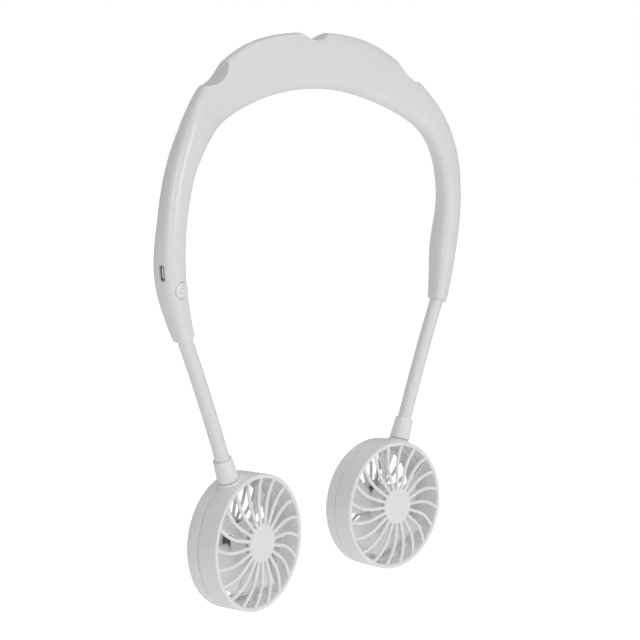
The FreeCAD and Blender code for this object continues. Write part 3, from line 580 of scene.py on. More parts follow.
def bake(obj):
    """Turns an object's modifiers into plain mesh."""
    evaluated = obj.evaluated_get(bpy.context.evaluated_depsgraph_get())
    mesh = bpy.data.meshes.new_from_object(evaluated)
    before = obj.data
    obj.modifiers.clear()
    obj.data = mesh
    bpy.data.meshes.remove(before)
    return obj


def combine(obj, tool, operation):
    """Cuts a tool from an object, or adds it, removes the tool and welds doubled points."""
    modifier = obj.modifiers.new(operation.title(), "BOOLEAN")
    modifier.operation = operation
    modifier.solver = "EXACT"
    modifier.object = tool
    bake(obj)
    drop(tool)
    work = bmesh.new()
    work.from_mesh(obj.data)
    bmesh.ops.remove_doubles(work, verts=work.verts, dist=WELD)
    bmesh.ops.dissolve_degenerate(work, edges=work.edges, dist=WELD)
    work.to_mesh(obj.data)
    work.free()
    return obj


def join(name, *objects):
    """One object from several in the same place."""
    work = bmesh.new()
    for obj in objects:
        work.from_mesh(obj.data)
        drop(obj)
    mesh = bpy.data.meshes.new(name)
    work.to_mesh(mesh)
    work.free()
    return add_object(name, mesh)


def feed(tree, node, inputs):
    """Sets a node's inputs, each to a value or by a link from another node's output."""
    for socket, value in inputs.items():
        if isinstance(value, bpy.types.NodeSocket):
            tree.links.new(value, node.inputs[socket])
        else:
            node.inputs[socket].default_value = value


def add_node(tree, kind, inputs=None, **choices):
    """New node with its choices made and its inputs fed."""
    node = tree.nodes.new(kind)
    for name, value in choices.items():
        setattr(node, name, value)
    feed(tree, node, inputs or {})
    return node


def new_tree(name, kind, inputs, outputs):
    """Node tree with named inputs and outputs, and the sockets of its inputs."""
    tree = bpy.data.node_groups.new(name, kind)
    for way, sockets in (("INPUT", inputs), ("OUTPUT", outputs)):
        for label, socket in sockets.items():
            tree.interface.new_socket(label, in_out=way, socket_type="NodeSocket" + socket)
    return tree, tree.nodes.new("NodeGroupInput").outputs


def geometry_tree(name, **inputs):
    shape = {"Geometry": "Geometry"}
    return new_tree(name, "GeometryNodeTree", {**shape, **inputs, "Material": "Material"}, shape)


def finish_tree(tree, given, instances):
    """Ends a tree in realised geometry with the given material."""
    real = add_node(tree, "GeometryNodeRealizeInstances", {"Geometry": instances})
    paint = add_node(tree, "GeometryNodeSetMaterial", {"Geometry": real.outputs["Geometry"],
                                                       "Material": given["Material"]})
    add_node(tree, "NodeGroupOutput", {"Geometry": paint.outputs["Geometry"]})
    return tree


def turned_copies(tree, given, geometry):
    """Copies of some geometry, turned about z in equal steps from a phase."""
    points = add_node(tree, "GeometryNodePoints", {"Count": given["Count"]})
    index = add_node(tree, "GeometryNodeInputIndex")
    step = add_node(tree, "ShaderNodeMath", {0: FULL, 1: given["Count"]}, operation="DIVIDE")
    turn = add_node(tree, "ShaderNodeMath", {
        0: index.outputs[0], 1: step.outputs[0], 2: given["Phase"]}, operation="MULTIPLY_ADD")
    euler = add_node(tree, "ShaderNodeCombineXYZ", {"Z": turn.outputs[0]})
    rotation = add_node(tree, "FunctionNodeEulerToRotation", {0: euler.outputs[0]})
    copies = add_node(tree, "GeometryNodeInstanceOnPoints", {
        "Points": points.outputs[0], "Instance": geometry, "Rotation": rotation.outputs[0]})
    return copies.outputs["Instances"]


def radial_tree():
    """Copies of a mesh round the z axis."""
    tree, given = geometry_tree("Radial copies", Count="Int", Phase="Float")
    return finish_tree(tree, given, turned_copies(tree, given, given["Geometry"]))


def rib_tree():
    """Rounded ribs swept along a drawn centreline and copied round the z axis."""
    tree, given = geometry_tree("Swept ribs", Count="Int", Phase="Float", Width="Float",
                                Depth="Float")
    curve = add_node(tree, "GeometryNodeMeshToCurve", {"Mesh": given["Geometry"]})
    normal = add_node(tree, "GeometryNodeSetCurveNormal", {"Curve": curve.outputs["Curve"]},
                      mode="Z_UP")
    circle = add_node(tree, "GeometryNodeCurvePrimitiveCircle", {"Resolution": RIB_SIDES,
                                                                 "Radius": 0.5})
    size = add_node(tree, "ShaderNodeCombineXYZ", {"X": given["Width"], "Y": given["Depth"],
                                                   "Z": 1.0})
    section = add_node(tree, "GeometryNodeTransform", {"Geometry": circle.outputs["Curve"],
                                                       "Scale": size.outputs[0]})
    rib = add_node(tree, "GeometryNodeCurveToMesh", {
        "Curve": normal.outputs["Curve"], "Profile Curve": section.outputs["Geometry"],
        "Fill Caps": True})
    return finish_tree(tree, given, turned_copies(tree, given, rib.outputs["Mesh"]))


def ridge_tree():
    """Round bars from front to back on points that carry their half length."""
    tree, given = geometry_tree("Grip ridges", Radius="Float")
    bar = add_node(tree, "GeometryNodeMeshCylinder", {
        "Vertices": RIDGE_SIDES, "Radius": given["Radius"], "Depth": 2.0})
    reach = add_node(tree, "GeometryNodeInputNamedAttribute", {"Name": "reach"},
                     data_type="FLOAT")
    size = add_node(tree, "ShaderNodeCombineXYZ", {"X": 1.0, "Y": 1.0,
                                                   "Z": reach.outputs["Attribute"]})
    bars = add_node(tree, "GeometryNodeInstanceOnPoints", {
        "Points": given["Geometry"], "Instance": bar.outputs["Mesh"],
        "Rotation": (QUARTER, 0.0, 0.0), "Scale": size.outputs[0]})
    return finish_tree(tree, given, bars.outputs["Instances"])


def grow(obj, tree_maker, **values):
    """Runs a geometry node tree on an object and keeps the result as plain mesh."""
    tree = tree_maker()
    modifier = obj.modifiers.new(tree.name, "NODES")
    modifier.node_group = tree
    for item in tree.interface.items_tree:
        if item.in_out == "INPUT" and item.name.lower() in values:
            modifier[item.identifier] = values[item.name.lower()]
    bake(obj)
    bpy.data.node_groups.remove(tree)
    return obj


def grain_group():
    """Mottled colour, roughness and a fine normal for moulded and drawn surfaces."""
    name = "Moulded grain"
    if name in bpy.data.node_groups:
        return bpy.data.node_groups[name]
    tree, given = new_tree(name, "ShaderNodeTree", {
        "Color": "Color", "Mottle": "Float", "Stretch": "Vector", "Scale": "Float",
        "Roughness": "Float", "Relief": "Float",
    }, {"Color": "Color", "Roughness": "Float", "Normal": "Vector"})
    place = add_node(tree, "ShaderNodeTexCoord")
    stretch = add_node(tree, "ShaderNodeVectorMath", {
        0: place.outputs["Object"], 1: given["Stretch"]}, operation="MULTIPLY")
    broad = add_node(tree, "ShaderNodeTexNoise", {
        "Vector": stretch.outputs[0], "Scale": MOTTLE_SCALE, "Detail": 3.0})
    fine = add_node(tree, "ShaderNodeTexNoise", {
        "Vector": stretch.outputs[0], "Scale": given["Scale"], "Detail": 2.0})
    tone = add_node(tree, "ShaderNodeMath", {0: broad.outputs["Fac"], 1: given["Mottle"]},
                    operation="MULTIPLY")
    mix = add_node(tree, "ShaderNodeMix", data_type="RGBA", blend_type="MULTIPLY")
    feed(tree, mix, {"Factor": tone.outputs[0], "A": given["Color"], "B": MOTTLE_SHADE})
    rough = add_node(tree, "ShaderNodeMapRange", {
        "Value": fine.outputs["Fac"], "To Min": -ROUGHNESS_SWING, "To Max": ROUGHNESS_SWING})
    total = add_node(tree, "ShaderNodeMath", {0: rough.outputs["Result"], 1: given["Roughness"]})
    bump = add_node(tree, "ShaderNodeBump", {
        "Height": fine.outputs["Fac"], "Strength": given["Relief"], "Distance": GRAIN_HEIGHT})
    add_node(tree, "NodeGroupOutput", {
        "Color": mix.outputs["Result"], "Roughness": total.outputs[0],
        "Normal": bump.outputs["Normal"]})
    return tree


def material(slot):
    """Procedural material of one slot."""
    name = slot + "_finish"
    if name in bpy.data.materials:
        return bpy.data.materials[name]
    mottle, stretch, scale, roughness, relief, metal = FINISHES[slot]
    coat, coat_roughness = COATS.get(slot, NO_COAT)
    paint = bpy.data.materials.new(name)
    paint.use_nodes = True
    tree = paint.node_tree
    grain = add_node(tree, "ShaderNodeGroup", node_tree=grain_group())
    feed(tree, grain, {
        "Color": (*getattr(group("look"), slot), 1.0), "Mottle": mottle, "Stretch": stretch,
        "Scale": scale, "Roughness": roughness, "Relief": relief})
    feed(tree, tree.nodes["Principled BSDF"], {
        "Base Color": grain.outputs["Color"], "Roughness": grain.outputs["Roughness"],
        "Normal": grain.outputs["Normal"], "Metallic": metal, "Coat Weight": coat,
        "Coat Roughness": coat_roughness})
    return paint


def scallop_middles():
    spacing = group("band").scallop_spacing
    return -spacing, 0.0, spacing


def scallop_reach(run):
    """Outward reach that the scallops leave of the band at a run, or a reach past the band."""
    band = group("band")
    centre, outward, _ = band_frame(run)
    reach = 1.0
    for middle in scallop_middles():
        base, rise, _ = band_frame(middle)
        axis = base + rise * (band_size(middle)[1] - band.scallop_depth + band.scallop_radius)
        offset = centre - axis
        b = offset @ outward
        root = b * b - offset @ offset + band.scallop_radius**2
        if root > 0.0 and -b - math.sqrt(root) > 0.0:
            reach = min(reach, -b - math.sqrt(root))
    return reach


def band_ring(run, inset=0.0):
    """Ring round the band, with points closer on its outer half and the scallops cut away."""
    band = group("band")
    inner, outer, thickness, _ = band_size(run)
    centre, outward, _ = band_frame(run)
    turn = np.linspace(0.0, FULL, SECTION_POINTS)
    cosine = np.sign(np.cos(turn)) * np.abs(np.cos(turn)) ** (2 / band.squareness)
    sine = np.sign(np.sin(turn)) * np.abs(np.sin(turn)) ** (2 / band.squareness)
    u = np.where(cosine > 0.0, (outer - inset) * cosine, (inner - inset) * cosine)
    v = sine * (thickness / 2 - inset)
    dense = np.where(cosine > 0.02, 2.0, 1.0)
    gone = np.concatenate(([0.0], np.cumsum(np.hypot(np.diff(u), np.diff(v)) * dense[1:])))
    marks = np.linspace(0.0, gone[-1], BAND_POINTS, endpoint=False)
    u = np.interp(marks, gone, u)
    v = np.interp(marks, gone, v)
    reach = scallop_reach(run)
    soft = np.clip(0.5 + 0.5 * (reach - u) / band.scallop_edge, 0.0, 1.0)
    u = reach * (1.0 - soft) + u * soft - band.scallop_edge * soft * (1.0 - soft)
    return centre + outward * u[:, None] + BACKWARD * v[:, None]


def band_runs():
    """Runs of the band's rings, closer together round the scallops."""
    end = HALF_LENGTH - group("band").end_edge
    runs = [-end]
    while runs[-1] < end:
        near = min(abs(runs[-1] - middle) for middle in scallop_middles())
        runs.append(runs[-1] + (SCALLOP_STEP if near < SCALLOP_RUN else BAND_STEP))
    runs[-1] = end
    return runs


def arm_end(side):
    """Rings that round an arm's end and run into the bore round its gooseneck."""
    edge = group("band").end_edge
    arms = group("arms")
    rings = []
    for step in range(1, END_STEPS + 1):
        lean = QUARTER * step / END_STEPS
        run = SIDES[side] * (HALF_LENGTH - edge * (1 - math.sin(lean)))
        rings.append(band_ring(run, edge * (1 - math.cos(lean))))
    centre, outward, _ = band_frame(SIDES[side] * HALF_LENGTH)
    around = rings[-1] - centre
    turn = np.arctan2(around[:, 1], around @ outward)
    bore = np.cos(turn)[:, None] * outward + np.sin(turn)[:, None] * BACKWARD
    rings.append(centre + bore * (arms.radius + ARM_BORE_GAP))
    up = np.array(gooseneck_point(side, arms.top_angle)[1])
    rings.append(rings[-1] + up * ARM_BORE_DEPTH)
    return rings


def grip_ridges():
    """Bars across the scallop floors, from points that carry each bar's half length."""
    band = group("band")
    half = math.sqrt(band.scallop_radius**2 - (band.scallop_radius - band.scallop_depth) ** 2)
    steps = int(half * RIDGE_SPREAD / band.ridge_pitch)
    exponent = band.squareness
    places = []
    reaches = []
    for middle in scallop_middles():
        for k in range(-steps, steps + 1):
            run = middle + k * band.ridge_pitch
            _, outer, thickness, _ = band_size(run)
            reach = scallop_reach(run)
            if reach > outer - SHALLOWEST_RIDGE:
                continue
            centre, outward, _ = band_frame(run)
            width = thickness / 2 * (1 - (reach / outer) ** exponent) ** (1 / exponent)
            places.append(tuple(centre + outward * (reach - band.ridge_radius * RIDGE_SINK)))
            reaches.append(max(width - RIDGE_MARGIN, SHORTEST_RIDGE))
    mesh = new_mesh("grip_ridges", places)
    mesh.attributes.new("reach", "FLOAT", "POINT").data.foreach_set("value", reaches)
    return grow(add_object("grip_ridges", mesh), ridge_tree, radius=band.ridge_radius,
                material=material("silicone"))


def socket_box(margin, low, high):
    """Rings round the charging socket's shell with a margin, at two heights outward."""
    controls = group("controls")
    half = controls.socket_width / 2 + margin
    tall = controls.socket_height / 2 + margin
    corner = min(SOCKET_CORNER + margin, tall * 0.95)
    outline = rounded_corners([(half, tall, corner), (-half, tall, corner),
                               (-half, -tall, corner), (half, -tall, corner)])
    return np.array([[(controls.socket_offset + p[0], SOCKET_LEVEL + p[1], h) for p in outline]
                     for h in (low, high)])


class NECKFAN_OT_band(bpy.types.Operator):
    """Build the silicone band with its scallops, ridges, charging slot and button hole"""
    bl_idname = "neck_fan.band"
    bl_label = "Band"

    def execute(self, context):
        controls = group("controls")
        rings = arm_end("left")[::-1] + [band_ring(run) for run in band_runs()]
        band = make("neckband_skin", [tube_mesh(np.array(rings + arm_end("right")))])
        place = controls_place()
        _, outer, thickness, _ = band_size(HALF_LENGTH - controls.run)
        slot = socket_box(SLOT_GAP, outer - SLOT_DEPTH, outer + SLOT_OVER)
        combine(band, make("slot", [tube_mesh(slot)], place), "DIFFERENCE")
        radius = controls.button_radius + BUTTON_GAP + controls.bezel_width + BEZEL_GAP
        aim = Matrix.Translation((controls.button_offset, HOLE_DEPTH / 2 - thickness / 2,
                                  controls.button_side))
        hole = make("hole", [turned([(radius, 0.0), (radius, HOLE_DEPTH)], ROUND)],
                    place @ aim @ OUT_OF_THE_ARM)
        combine(band, hole, "DIFFERENCE")
        dress(band, "silicone")
        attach(band, "neckband")
        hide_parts("neckband_sleeve")
        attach(dress(grip_ridges(), "silicone"), "neckband")
        return {"FINISHED"}


class NECKFAN_OT_controls(bpy.types.Operator):
    """Build the bezel, the button with its symbol and the charging socket"""
    bl_idname = "neck_fan.controls"
    bl_label = "Controls"

    def execute(self, context):
        controls = group("controls")
        place = controls_place()
        _, outer, thickness, _ = band_size(HALF_LENGTH - controls.run)
        aim = Matrix.Translation((controls.button_offset, -thickness / 2, controls.button_side))
        front = place @ aim @ OUT_OF_THE_ARM
        bore = controls.button_radius + BUTTON_GAP
        rim = bore + controls.bezel_width
        outline = rounded_corners([
            (bore, BEZEL_FOOT, 0.0), (rim, BEZEL_FOOT, 0.0), (rim, BEZEL_TOP, BEZEL_OUTER_EDGE),
            (bore, BEZEL_TOP, BEZEL_INNER_EDGE)])
        bezel = dress(make("bezel_ring", [lathe(outline, FINE_ROUND)], front), "bezel")
        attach(bezel, "neckband")
        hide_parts("button_bezel")
        button = self.button(front)
        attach(button, "power_button")
        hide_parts("power_button")
        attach(self.symbol(front @ Matrix.Rotation(-math.pi / 2, 4, "Z")), "power_button")
        self.socket(place, outer - SOCKET_RECESS)
        return {"FINISHED"}

    def crown(self, radius):
        """Height of the button's domed face at a radius."""
        return -BUTTON_SINK + BUTTON_RISE * (1 - (radius / group("controls").button_radius) ** 2)

    def button(self, front):
        radius = group("controls").button_radius
        outline = [(BUTTON_STEM, BUTTON_FOOT), (BUTTON_STEM, BUTTON_UNDERSIDE),
                   (radius, BUTTON_UNDERSIDE), (radius, self.crown(radius) - BUTTON_EDGE)]
        outline += [(radius * k / 12, self.crown(radius * k / 12)) for k in range(11, 0, -1)]
        return dress(make("button_cap", [turned(outline, ROUND)], front), "white_plastic")

    def symbol(self, front):
        """Open ring and bar, laid on the domed face."""
        shells = []
        for line in ([(SYMBOL_RADIUS * math.cos(a), SYMBOL_RADIUS * math.sin(a))
                      for a in np.linspace(*SYMBOL_SWEEP, 41)],
                     [(0.0, y) for y in np.linspace(*SYMBOL_BAR, 9)]):
            path = np.array(line)
            side = np.gradient(path, axis=0)
            side = np.stack((-side[:, 1], side[:, 0]), 1) / np.hypot(*side.T)[:, None]
            rings = []
            for point, offset in zip(path, side * SYMBOL_HALF_LINE):
                top = self.crown(np.hypot(*point)) + SYMBOL_RISE
                foot = top - SYMBOL_DEPTH
                rings.append([(*(point + offset), foot), (*(point + offset), top),
                              (*(point - offset), top), (*(point - offset), foot)])
            shells.append(tube_mesh(np.array(rings)))
        return dress(make("power_symbol", shells, front), "symbol")

    def socket(self, place, mouth):
        """Metal shell with a pale tongue."""
        outside = socket_box(0.0, mouth - SOCKET_DEPTH, mouth)
        inside = socket_box(-SOCKET_WALL, mouth - SOCKET_INSIDE, mouth)
        rings = np.array((outside[0], outside[1], inside[1], inside[0]))
        shell = make("socket_shell", [tube_mesh(rings)], place)
        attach(dress(shell, "steel", 30.0), "neckband")
        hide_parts("usb_socket")
        middle = group("controls").socket_offset
        tongue = make("socket_tongue", [
            block((middle - half, front, mouth - foot), (middle + half, back, mouth - tip))
            for half, front, back, foot, tip in TONGUE], place)
        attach(dress(tongue, "white_plastic"), "neckband")


class NECKFAN_OT_goosenecks(bpy.types.Operator):
    """Build the goosenecks, each as two curved tubes, one from the arm to the middle and one from the middle to
    the collar
    """
    bl_idname = "neck_fan.goosenecks"
    bl_label = "Goosenecks"

    def execute(self, context):
        arms = group("arms")
        middle = (arms.top_angle + arms.bottom_angle) / 2
        for side in SIDES:
            top = gooseneck_point(side, arms.top_angle)[0]
            centre = gooseneck_point(side, middle)[0]
            foot = gooseneck_point(side, arms.bottom_angle)[0]
            upper = self.half(side, "upper", arms.top_angle, middle, above=ARM_INSERT)
            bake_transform(upper)
            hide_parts(side + "_gooseneck_sleeve", side + "_gooseneck_core",
                        side + "_motor_lead")
            lower = self.half(side, "lower", middle, arms.bottom_angle, below=COLLAR_INSERT)
            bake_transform(lower)
        return {"FINISHED"}

    def half(self, side, name, first, last, above=0.0, below=0.0):
        """Tube along half of a gooseneck, let into the piece above or below it."""
        stops = [gooseneck_point(side, lean) for lean in np.linspace(first, last, GOOSENECK_STOPS)]
        if above:
            point, up = gooseneck_point(side, first)
            stops.insert(0, (point + up * above, up))
        if below:
            point, up = gooseneck_point(side, last)
            stops.append((point - up * below, up))
        turn = np.linspace(0.0, FULL, SMALL_ROUND, endpoint=False)
        rings = []
        for point, up in stops:
            across = np.array(Vector(BACKWARD).cross(up).normalized())
            ring = np.cos(turn)[:, None] * across + np.sin(turn)[:, None] * BACKWARD
            rings.append(np.array(point) + ring * group("arms").radius)
        tube = make(side + "_gooseneck_" + name, [tube_mesh(np.array(rings))])
        return dress(tube, "silicone")


class NECKFAN_OT_collars(bpy.types.Operator):
    """Build the tapered collars with their swivel stems"""
    bl_idname = "neck_fan.collars"
    bl_label = "Collars"

    def execute(self, context):
        arms = group("arms")
        low = collar_base()
        high = low + arms.collar_run
        bore = arms.radius + COLLAR_GAP
        flange = group("head").radius - FLANGE_SINK
        under = flange - FLANGE_THICKNESS
        top = arms.collar_top + COLLAR_STEP
        outline = rounded_corners([
            (STEM_BORE, under, 0.0), (FLANGE_RADIUS, under, FLANGE_EDGE),
            (FLANGE_RADIUS, flange, FLANGE_EDGE), (STEM_RADIUS, flange, 0.0),
            (STEM_RADIUS, low, 0.0), (arms.collar_bottom, low, COLLAR_EDGE),
            (arms.collar_bottom - COLLAR_STEP, low + COLLAR_FOOT, 0.0),
            (top, high - COLLAR_LIP, COLLAR_LIP_EDGE), (top, high, COLLAR_EDGE),
            (bore, high, COLLAR_BORE_EDGE),
            (bore, high - COLLAR_SOCKET, 0.0), (STEM_BORE, high - COLLAR_SOCKET, 0.0),
        ])
        for side in SIDES:
            collar = make(side + "_collar_skin", [lathe(outline, ROUND)],
                          head_matrix(side) @ UP_THE_SWIVEL)
            dress(collar, "white_plastic")
            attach(collar, side + "_collar")
            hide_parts(side + "_collar")
        return {"FINISHED"}


class NECKFAN_OT_covers(bpy.types.Operator):
    """Build the front and rear covers with their swept grilles"""
    bl_idname = "neck_fan.covers"
    bl_label = "Covers"

    def execute(self, context):
        for side in SIDES:
            for name, cover in (("front", self.front(side)), ("rear", self.rear(side))):
                cover.data.transform(head_matrix(side))
                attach(dress(cover, "white_plastic"), side + "_head")
                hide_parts(side + "_" + name + "_cover")
        return {"FINISHED"}

    def dome(self, radius):
        """Height of the front grille's outer face at a radius."""
        head = group("head")
        bore = head.radius - head.wall
        ball = (bore**2 + head.dome_rise**2) / (2 * head.dome_rise)
        middle = head.front - head.front_edge / 2 + head.dome_rise - ball
        return middle + math.sqrt(ball**2 - radius**2)

    def ribs(self, start, end, height, depth):
        """Ring of swept ribs whose faces follow a height over the radius."""
        head = group("head")
        line = [(x, 0.0) for x in np.linspace(start, head.rib_straight, 8)]
        for lean in np.linspace(0.0, 1.2, 60)[1:]:
            point = (head.rib_straight + head.rib_bend * math.sin(lean),
                     head.rib_bend * (math.cos(lean) - 1))
            if math.hypot(*point) > end:
                break
            line.append(point)
        points = [(x, y, height(math.hypot(x, y)) - depth / 2) for x, y in line]
        mesh = new_mesh("ribs", points, [(k, k + 1) for k in range(len(points) - 1)])
        return grow(add_object("ribs", mesh), rib_tree, count=head.ribs, phase=0.0,
                    width=head.rib_width, depth=depth, material=material("white_plastic"))

    def with_boss(self, rim, low, high):
        """Adds the swivel boss's part between two heights along the fan axis, and its hole."""
        head = group("head")
        foot = head.radius - BOSS_SINK
        top = head.radius + head.boss_height
        outline = rounded_corners([(0.0, foot, 0.0), (head.boss_radius, foot, 0.0),
                                   (head.boss_radius, top, BOSS_EDGE), (0.0, top, 0.0)])
        boss = make("boss", [turned([(max(r, BOSS_POLE), h) for r, h in outline], ROUND)],
                    UP_THE_SWIVEL)
        across, up = HALF_SPACE
        combine(boss, make("keep", [block((-across, 0.0, low), (across, up, high))]), "INTERSECT")
        combine(rim, boss, "UNION")
        hole = [(STEM_HOLE, head.radius - STEM_HOLE_BELOW),
                (STEM_HOLE, head.radius + STEM_HOLE_ABOVE)]
        return combine(rim, make("stem_hole", [turned(hole, SMALL_ROUND)], UP_THE_SWIVEL),
                       "DIFFERENCE")

    def front(self, side):
        head = group("head")
        bore = head.radius - head.wall
        outline = rounded_corners([
            (bore, -head.seam, 0.0), (bore, head.front, head.front_edge),
            (head.radius, head.front, head.front_edge), (head.radius, -head.seam, SEAM_EDGE)])
        ring = make("ring", [lathe(outline, RIM_ROUND)])
        self.with_boss(ring, -head.seam, head.boss_radius)
        rim = head.front_disc
        edge = self.dome(rim)
        disc = [(r, self.dome(r)) for r in np.linspace(POLE, rim - DISC_EDGE, 12)]
        disc += [(rim - DISC_CHAMFER[0], edge - DISC_CHAMFER[1]), (rim, edge - DISC_EDGE),
                 (rim, edge - head.dome_thickness), (POLE, self.dome(0.0) - head.dome_thickness)]
        centre = make("disc", [turned(disc, ROUND)])
        ribs = self.ribs(rim - RIB_OVERLAP, bore + RIB_OVERLAP, self.dome, head.dome_thickness)
        return join(side + "_front_grille", ring, centre, ribs)

    def rear(self, side):
        head = group("head")
        bore = head.radius - head.wall
        start = -head.seam - head.groove
        face = -head.back + head.plate
        ring = head.radius - head.ring
        outline = rounded_corners([
            (head.radius, start, SEAM_EDGE), (head.radius, -head.back, head.back_edge),
            (ring, -head.back, REAR_EDGE), (ring, face, REAR_EDGE),
            (bore, face, head.back_edge - head.plate), (bore, start, 0.0)], 8)
        shell = make("shell", [lathe(outline, RIM_ROUND)])
        self.with_boss(shell, -head.boss_radius, start)
        top = -head.seam + LIP_HEIGHT
        foot = start - LIP_DEPTH
        lip = [(bore - LIP_GAP, top), (bore + LIP_OVERLAP, foot), (bore - LIP_INSIDE, foot),
               (bore - LIP_INSIDE, top)]
        notch = math.asin(LIP_NOTCH / bore)
        plug = make("lip", [lathe(lip, LIP_ROUND, QUARTER + notch, QUARTER - notch + FULL)])
        disc = rounded_corners([
            (POLE, face, 0.0), (head.rear_disc, face, 0.0), (head.rear_disc, -head.back, REAR_EDGE),
            (POLE, -head.back, 0.0)])
        centre = make("disc", [turned(disc, ROUND)])
        cup = [(CUP_INSIDE, face - CUP_SINK), (CUP_OUTSIDE, face - CUP_SINK),
               (CUP_OUTSIDE, face + CUP_HEIGHT), (CUP_INSIDE, face + CUP_HEIGHT)]
        motor_cup = make("cup", [lathe(cup, ROUND)])
        ribs = self.ribs(head.rear_disc - RIB_OVERLAP, ring + RIB_OVERLAP,
                         lambda radius: head.back, head.plate)
        ribs.data.transform(Matrix.Rotation(math.pi, 4, "Y"))
        return join(side + "_rear_grille", shell, plug, centre, motor_cup, ribs)


class NECKFAN_OT_impellers(bpy.types.Operator):
    """Build the impellers with their cambered blades"""
    bl_idname = "neck_fan.impellers"
    bl_label = "Impellers"

    def execute(self, context):
        fan = group("impeller")
        inside = fan.hub_radius - HUB_WALL
        ceiling = fan.hub_front - HUB_WALL
        hub = rounded_corners([
            (HUB_POLE, fan.hub_front, 0.0), (fan.hub_radius, fan.hub_front, fan.hub_edge),
            (fan.hub_radius, fan.hub_rear, HUB_FOOT_EDGE), (inside, fan.hub_rear, HUB_FOOT_EDGE),
            (inside, ceiling, HUB_INNER_EDGE), (HUB_STEM, ceiling, 0.0),
            (HUB_STEM, HUB_STEM_FOOT, 0.0),
            (SHAFT_BORE, HUB_STEM_FOOT, 0.0), (SHAFT_BORE, SHAFT_END, 0.0),
            (HUB_POLE, SHAFT_END, 0.0)])
        for side in SIDES:
            centre = make("hub", [turned(hub, FINE_ROUND)])
            blades = grow(make("blade", [self.blade()]), radial_tree, count=fan.blades,
                          phase=-getattr(fan, side + "_turn"), material=material("white_plastic"))
            impeller = join(side + "_fan_wheel", centre, blades)
            impeller.data.transform(head_matrix(side))
            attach(dress(impeller, "white_plastic", 50.0), side + "_rotor")
            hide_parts(side + "_impeller")
        return {"FINISHED"}

    def blade(self):
        """Thin cambered blade from inside the hub wall to its round tip."""
        fan = group("impeller")
        root = fan.hub_radius - BLADE_ROOT
        top = fan.tip_radius + BLADE_PAST_TIP
        chordwise = np.sin(np.linspace(-QUARTER, QUARTER, BLADE_POINTS))
        loop = [(c, 1.0) for c in chordwise] + [(c, -1.0) for c in chordwise[-2:0:-1]]
        rings = []
        for radius in np.linspace(fan.hub_radius - BLADE_SINK, fan.tip_radius, BLADE_RINGS):
            ring = []
            for c, face in loop:
                level = radius
                # Pitch and chord follow the height up the blade, so it is found by repetition.
                for _ in range(12):
                    t = min(max((level - root) / (top - root), 0.0), 1.0)
                    chord = fan.root_chord + (fan.tip_chord - fan.root_chord) * t
                    pitch = fan.root_pitch + (fan.tip_pitch - fan.root_pitch) * t
                    rise = chord * fan.camber * (1 - c * c)
                    rise += face * fan.thickness / 2 * (1 - abs(c) ** 12) ** 0.5
                    x = c * chord / 2 * math.cos(pitch) + math.sin(pitch) * rise
                    level = math.sqrt(max(radius**2 - x**2, 1e-8))
                back = math.cos(pitch) * rise - c * chord / 2 * math.sin(pitch)
                ring.append((-x, level, fan.middle - back))
            rings.append(ring)
        return tube_mesh(np.array(rings))


class NECKFAN_OT_inner(bpy.types.Operator):
    """Give the pieces that stay as CAD their procedural materials"""
    bl_idname = "neck_fan.inner"
    bl_label = "Inner pieces"

    def execute(self, context):
        for part in frame["record"]["subparts"]:
            node = frame["nodes"][part["node"]]
            if part["material_slot"] in INNER_SLOTS and not node.hide_render:
                node.data.materials.clear()
                node.data.materials.append(material(part["material_slot"]))
        return {"FINISHED"}


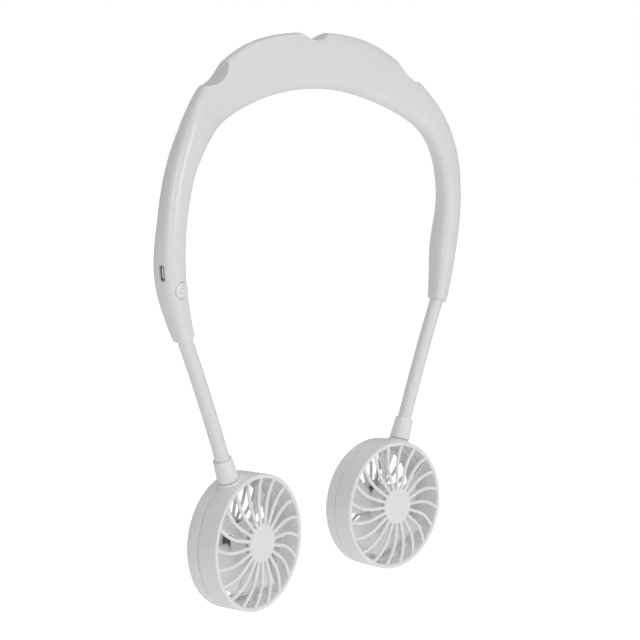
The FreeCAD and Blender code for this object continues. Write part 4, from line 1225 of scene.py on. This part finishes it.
class NECKFAN_OT_stage(bpy.types.Operator):
    """Set up floor, light and camera"""
    bl_idname = "neck_fan.stage"
    bl_label = "Stage"

    def execute(self, context):
        self.floor()
        self.sky()
        for name, (place, size) in LIGHTS.items():
            self.light(name, Vector(place), size)
        self.camera()
        context.scene.view_settings.view_transform = "Standard"
        return {"FINISHED"}

    def white_to_camera(self, tree, level):
        """Full strength to the camera's eye and a lower level to everything else."""
        seen = add_node(tree, "ShaderNodeLightPath")
        return add_node(tree, "ShaderNodeMapRange", {
            "Value": seen.outputs["Is Camera Ray"], "To Min": level, "To Max": 1.0,
        }).outputs["Result"]

    def floor(self):
        stage = group("stage")
        corners = ((-1, -1), (1, -1), (1, 1), (-1, 1))
        mesh = new_mesh("floor", [(x * FLOOR_REACH, y * FLOOR_REACH, -stage.floor_drop)
                                  for x, y in corners], faces=[(0, 1, 2, 3)])
        paint = bpy.data.materials.new("floor")
        paint.use_nodes = True
        tree = paint.node_tree
        feed(tree, tree.nodes["Principled BSDF"], {
            "Base Color": (*stage.floor_colour, 1.0), "Roughness": FLOOR_ROUGHNESS,
            "Emission Color": WHITE,
            "Emission Strength": self.white_to_camera(tree, stage.floor_glow)})
        mesh.materials.append(paint)
        floor = add_object("floor", mesh)

    def sky(self):
        world = bpy.data.worlds.new("studio")
        world.use_nodes = True
        tree = world.node_tree
        feed(tree, tree.nodes["Background"], {
            "Color": WHITE,
            "Strength": self.white_to_camera(tree, group("stage").ambient)})
        bpy.context.scene.world = world

    def light(self, name, place, size):
        lamp = bpy.data.lights.new(name + "_light", "AREA")
        lamp.shape = "RECTANGLE"
        lamp.size, lamp.size_y = size
        lamp.energy = getattr(group("stage"), name + "_power")
        obj = add_object(name + "_light", lamp)
        aim = (LIGHT_TARGET - place).to_track_quat("-Z", "Y").to_matrix().to_4x4()
        obj.matrix_world = Matrix.Translation(place) @ aim

    def camera(self):
        """The photograph's camera, with its heading, fall and roll."""
        heading, fall, roll = (math.radians(turn) for turn in CAMERA_TURNS)
        forward = Vector((math.sin(heading) * math.cos(fall), math.cos(heading) * math.cos(fall),
                          -math.sin(fall)))
        level = Vector((math.cos(heading), -math.sin(heading), 0.0))
        right = level * math.cos(roll) + level.cross(forward) * math.sin(roll)
        place = Matrix((right, right.cross(forward), -forward)).transposed().to_4x4()
        place.translation = Vector(CAMERA_PLACE)
        lens = bpy.data.cameras.new("camera")
        lens.lens = group("stage").lens
        lens.sensor_width = SENSOR_WIDTH
        lens.clip_start = NEAREST_SEEN
        camera = add_object("camera", lens)
        camera.matrix_world = place
        bpy.context.scene.camera = camera


GROUPS = {
    "neck_fan_band": NeckFanBand,
    "neck_fan_controls": NeckFanControls,
    "neck_fan_arms": NeckFanArms,
    "neck_fan_head": NeckFanHead,
    "neck_fan_impeller": NeckFanImpeller,
    "neck_fan_look": NeckFanLook,
    "neck_fan_stage": NeckFanStage,
}
OPERATORS = (NECKFAN_OT_band, NECKFAN_OT_controls, NECKFAN_OT_goosenecks, NECKFAN_OT_collars,
             NECKFAN_OT_covers, NECKFAN_OT_impellers, NECKFAN_OT_inner, NECKFAN_OT_stage)


class NECKFAN_PT_sidebar(bpy.types.Panel):
    """Sidebar panel with the steps and the sizes"""
    bl_label = "Neck fan"
    bl_idname = "NECKFAN_PT_sidebar"
    bl_space_type = "VIEW_3D"
    bl_region_type = "UI"
    bl_category = "Neck fan"

    def draw(self, context):
        for operator in OPERATORS:
            self.layout.operator(operator.bl_idname)
        for name, sizes in GROUPS.items():
            column = self.layout.column()
            for field in sizes.__annotations__:
                column.prop(getattr(context.scene, name), field)


CLASSES = (*GROUPS.values(), *OPERATORS, NECKFAN_PT_sidebar)


def register():
    for entry in CLASSES:
        bpy.utils.register_class(entry)
    for name, sizes in GROUPS.items():
        setattr(bpy.types.Scene, name, PointerProperty(type=sizes))


def unregister():
    for name in GROUPS:
        delattr(bpy.types.Scene, name)
    for entry in reversed(CLASSES):
        bpy.utils.unregister_class(entry)


def main():
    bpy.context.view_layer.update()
    register()
    bpy.ops.neck_fan.band()
    bpy.ops.neck_fan.controls()
    bpy.ops.neck_fan.goosenecks()
    bpy.ops.neck_fan.collars()
    bpy.ops.neck_fan.covers()
    bpy.ops.neck_fan.impellers()
    bpy.ops.neck_fan.inner()
    bpy.ops.neck_fan.stage()


if __name__ == "__main__":
    main()
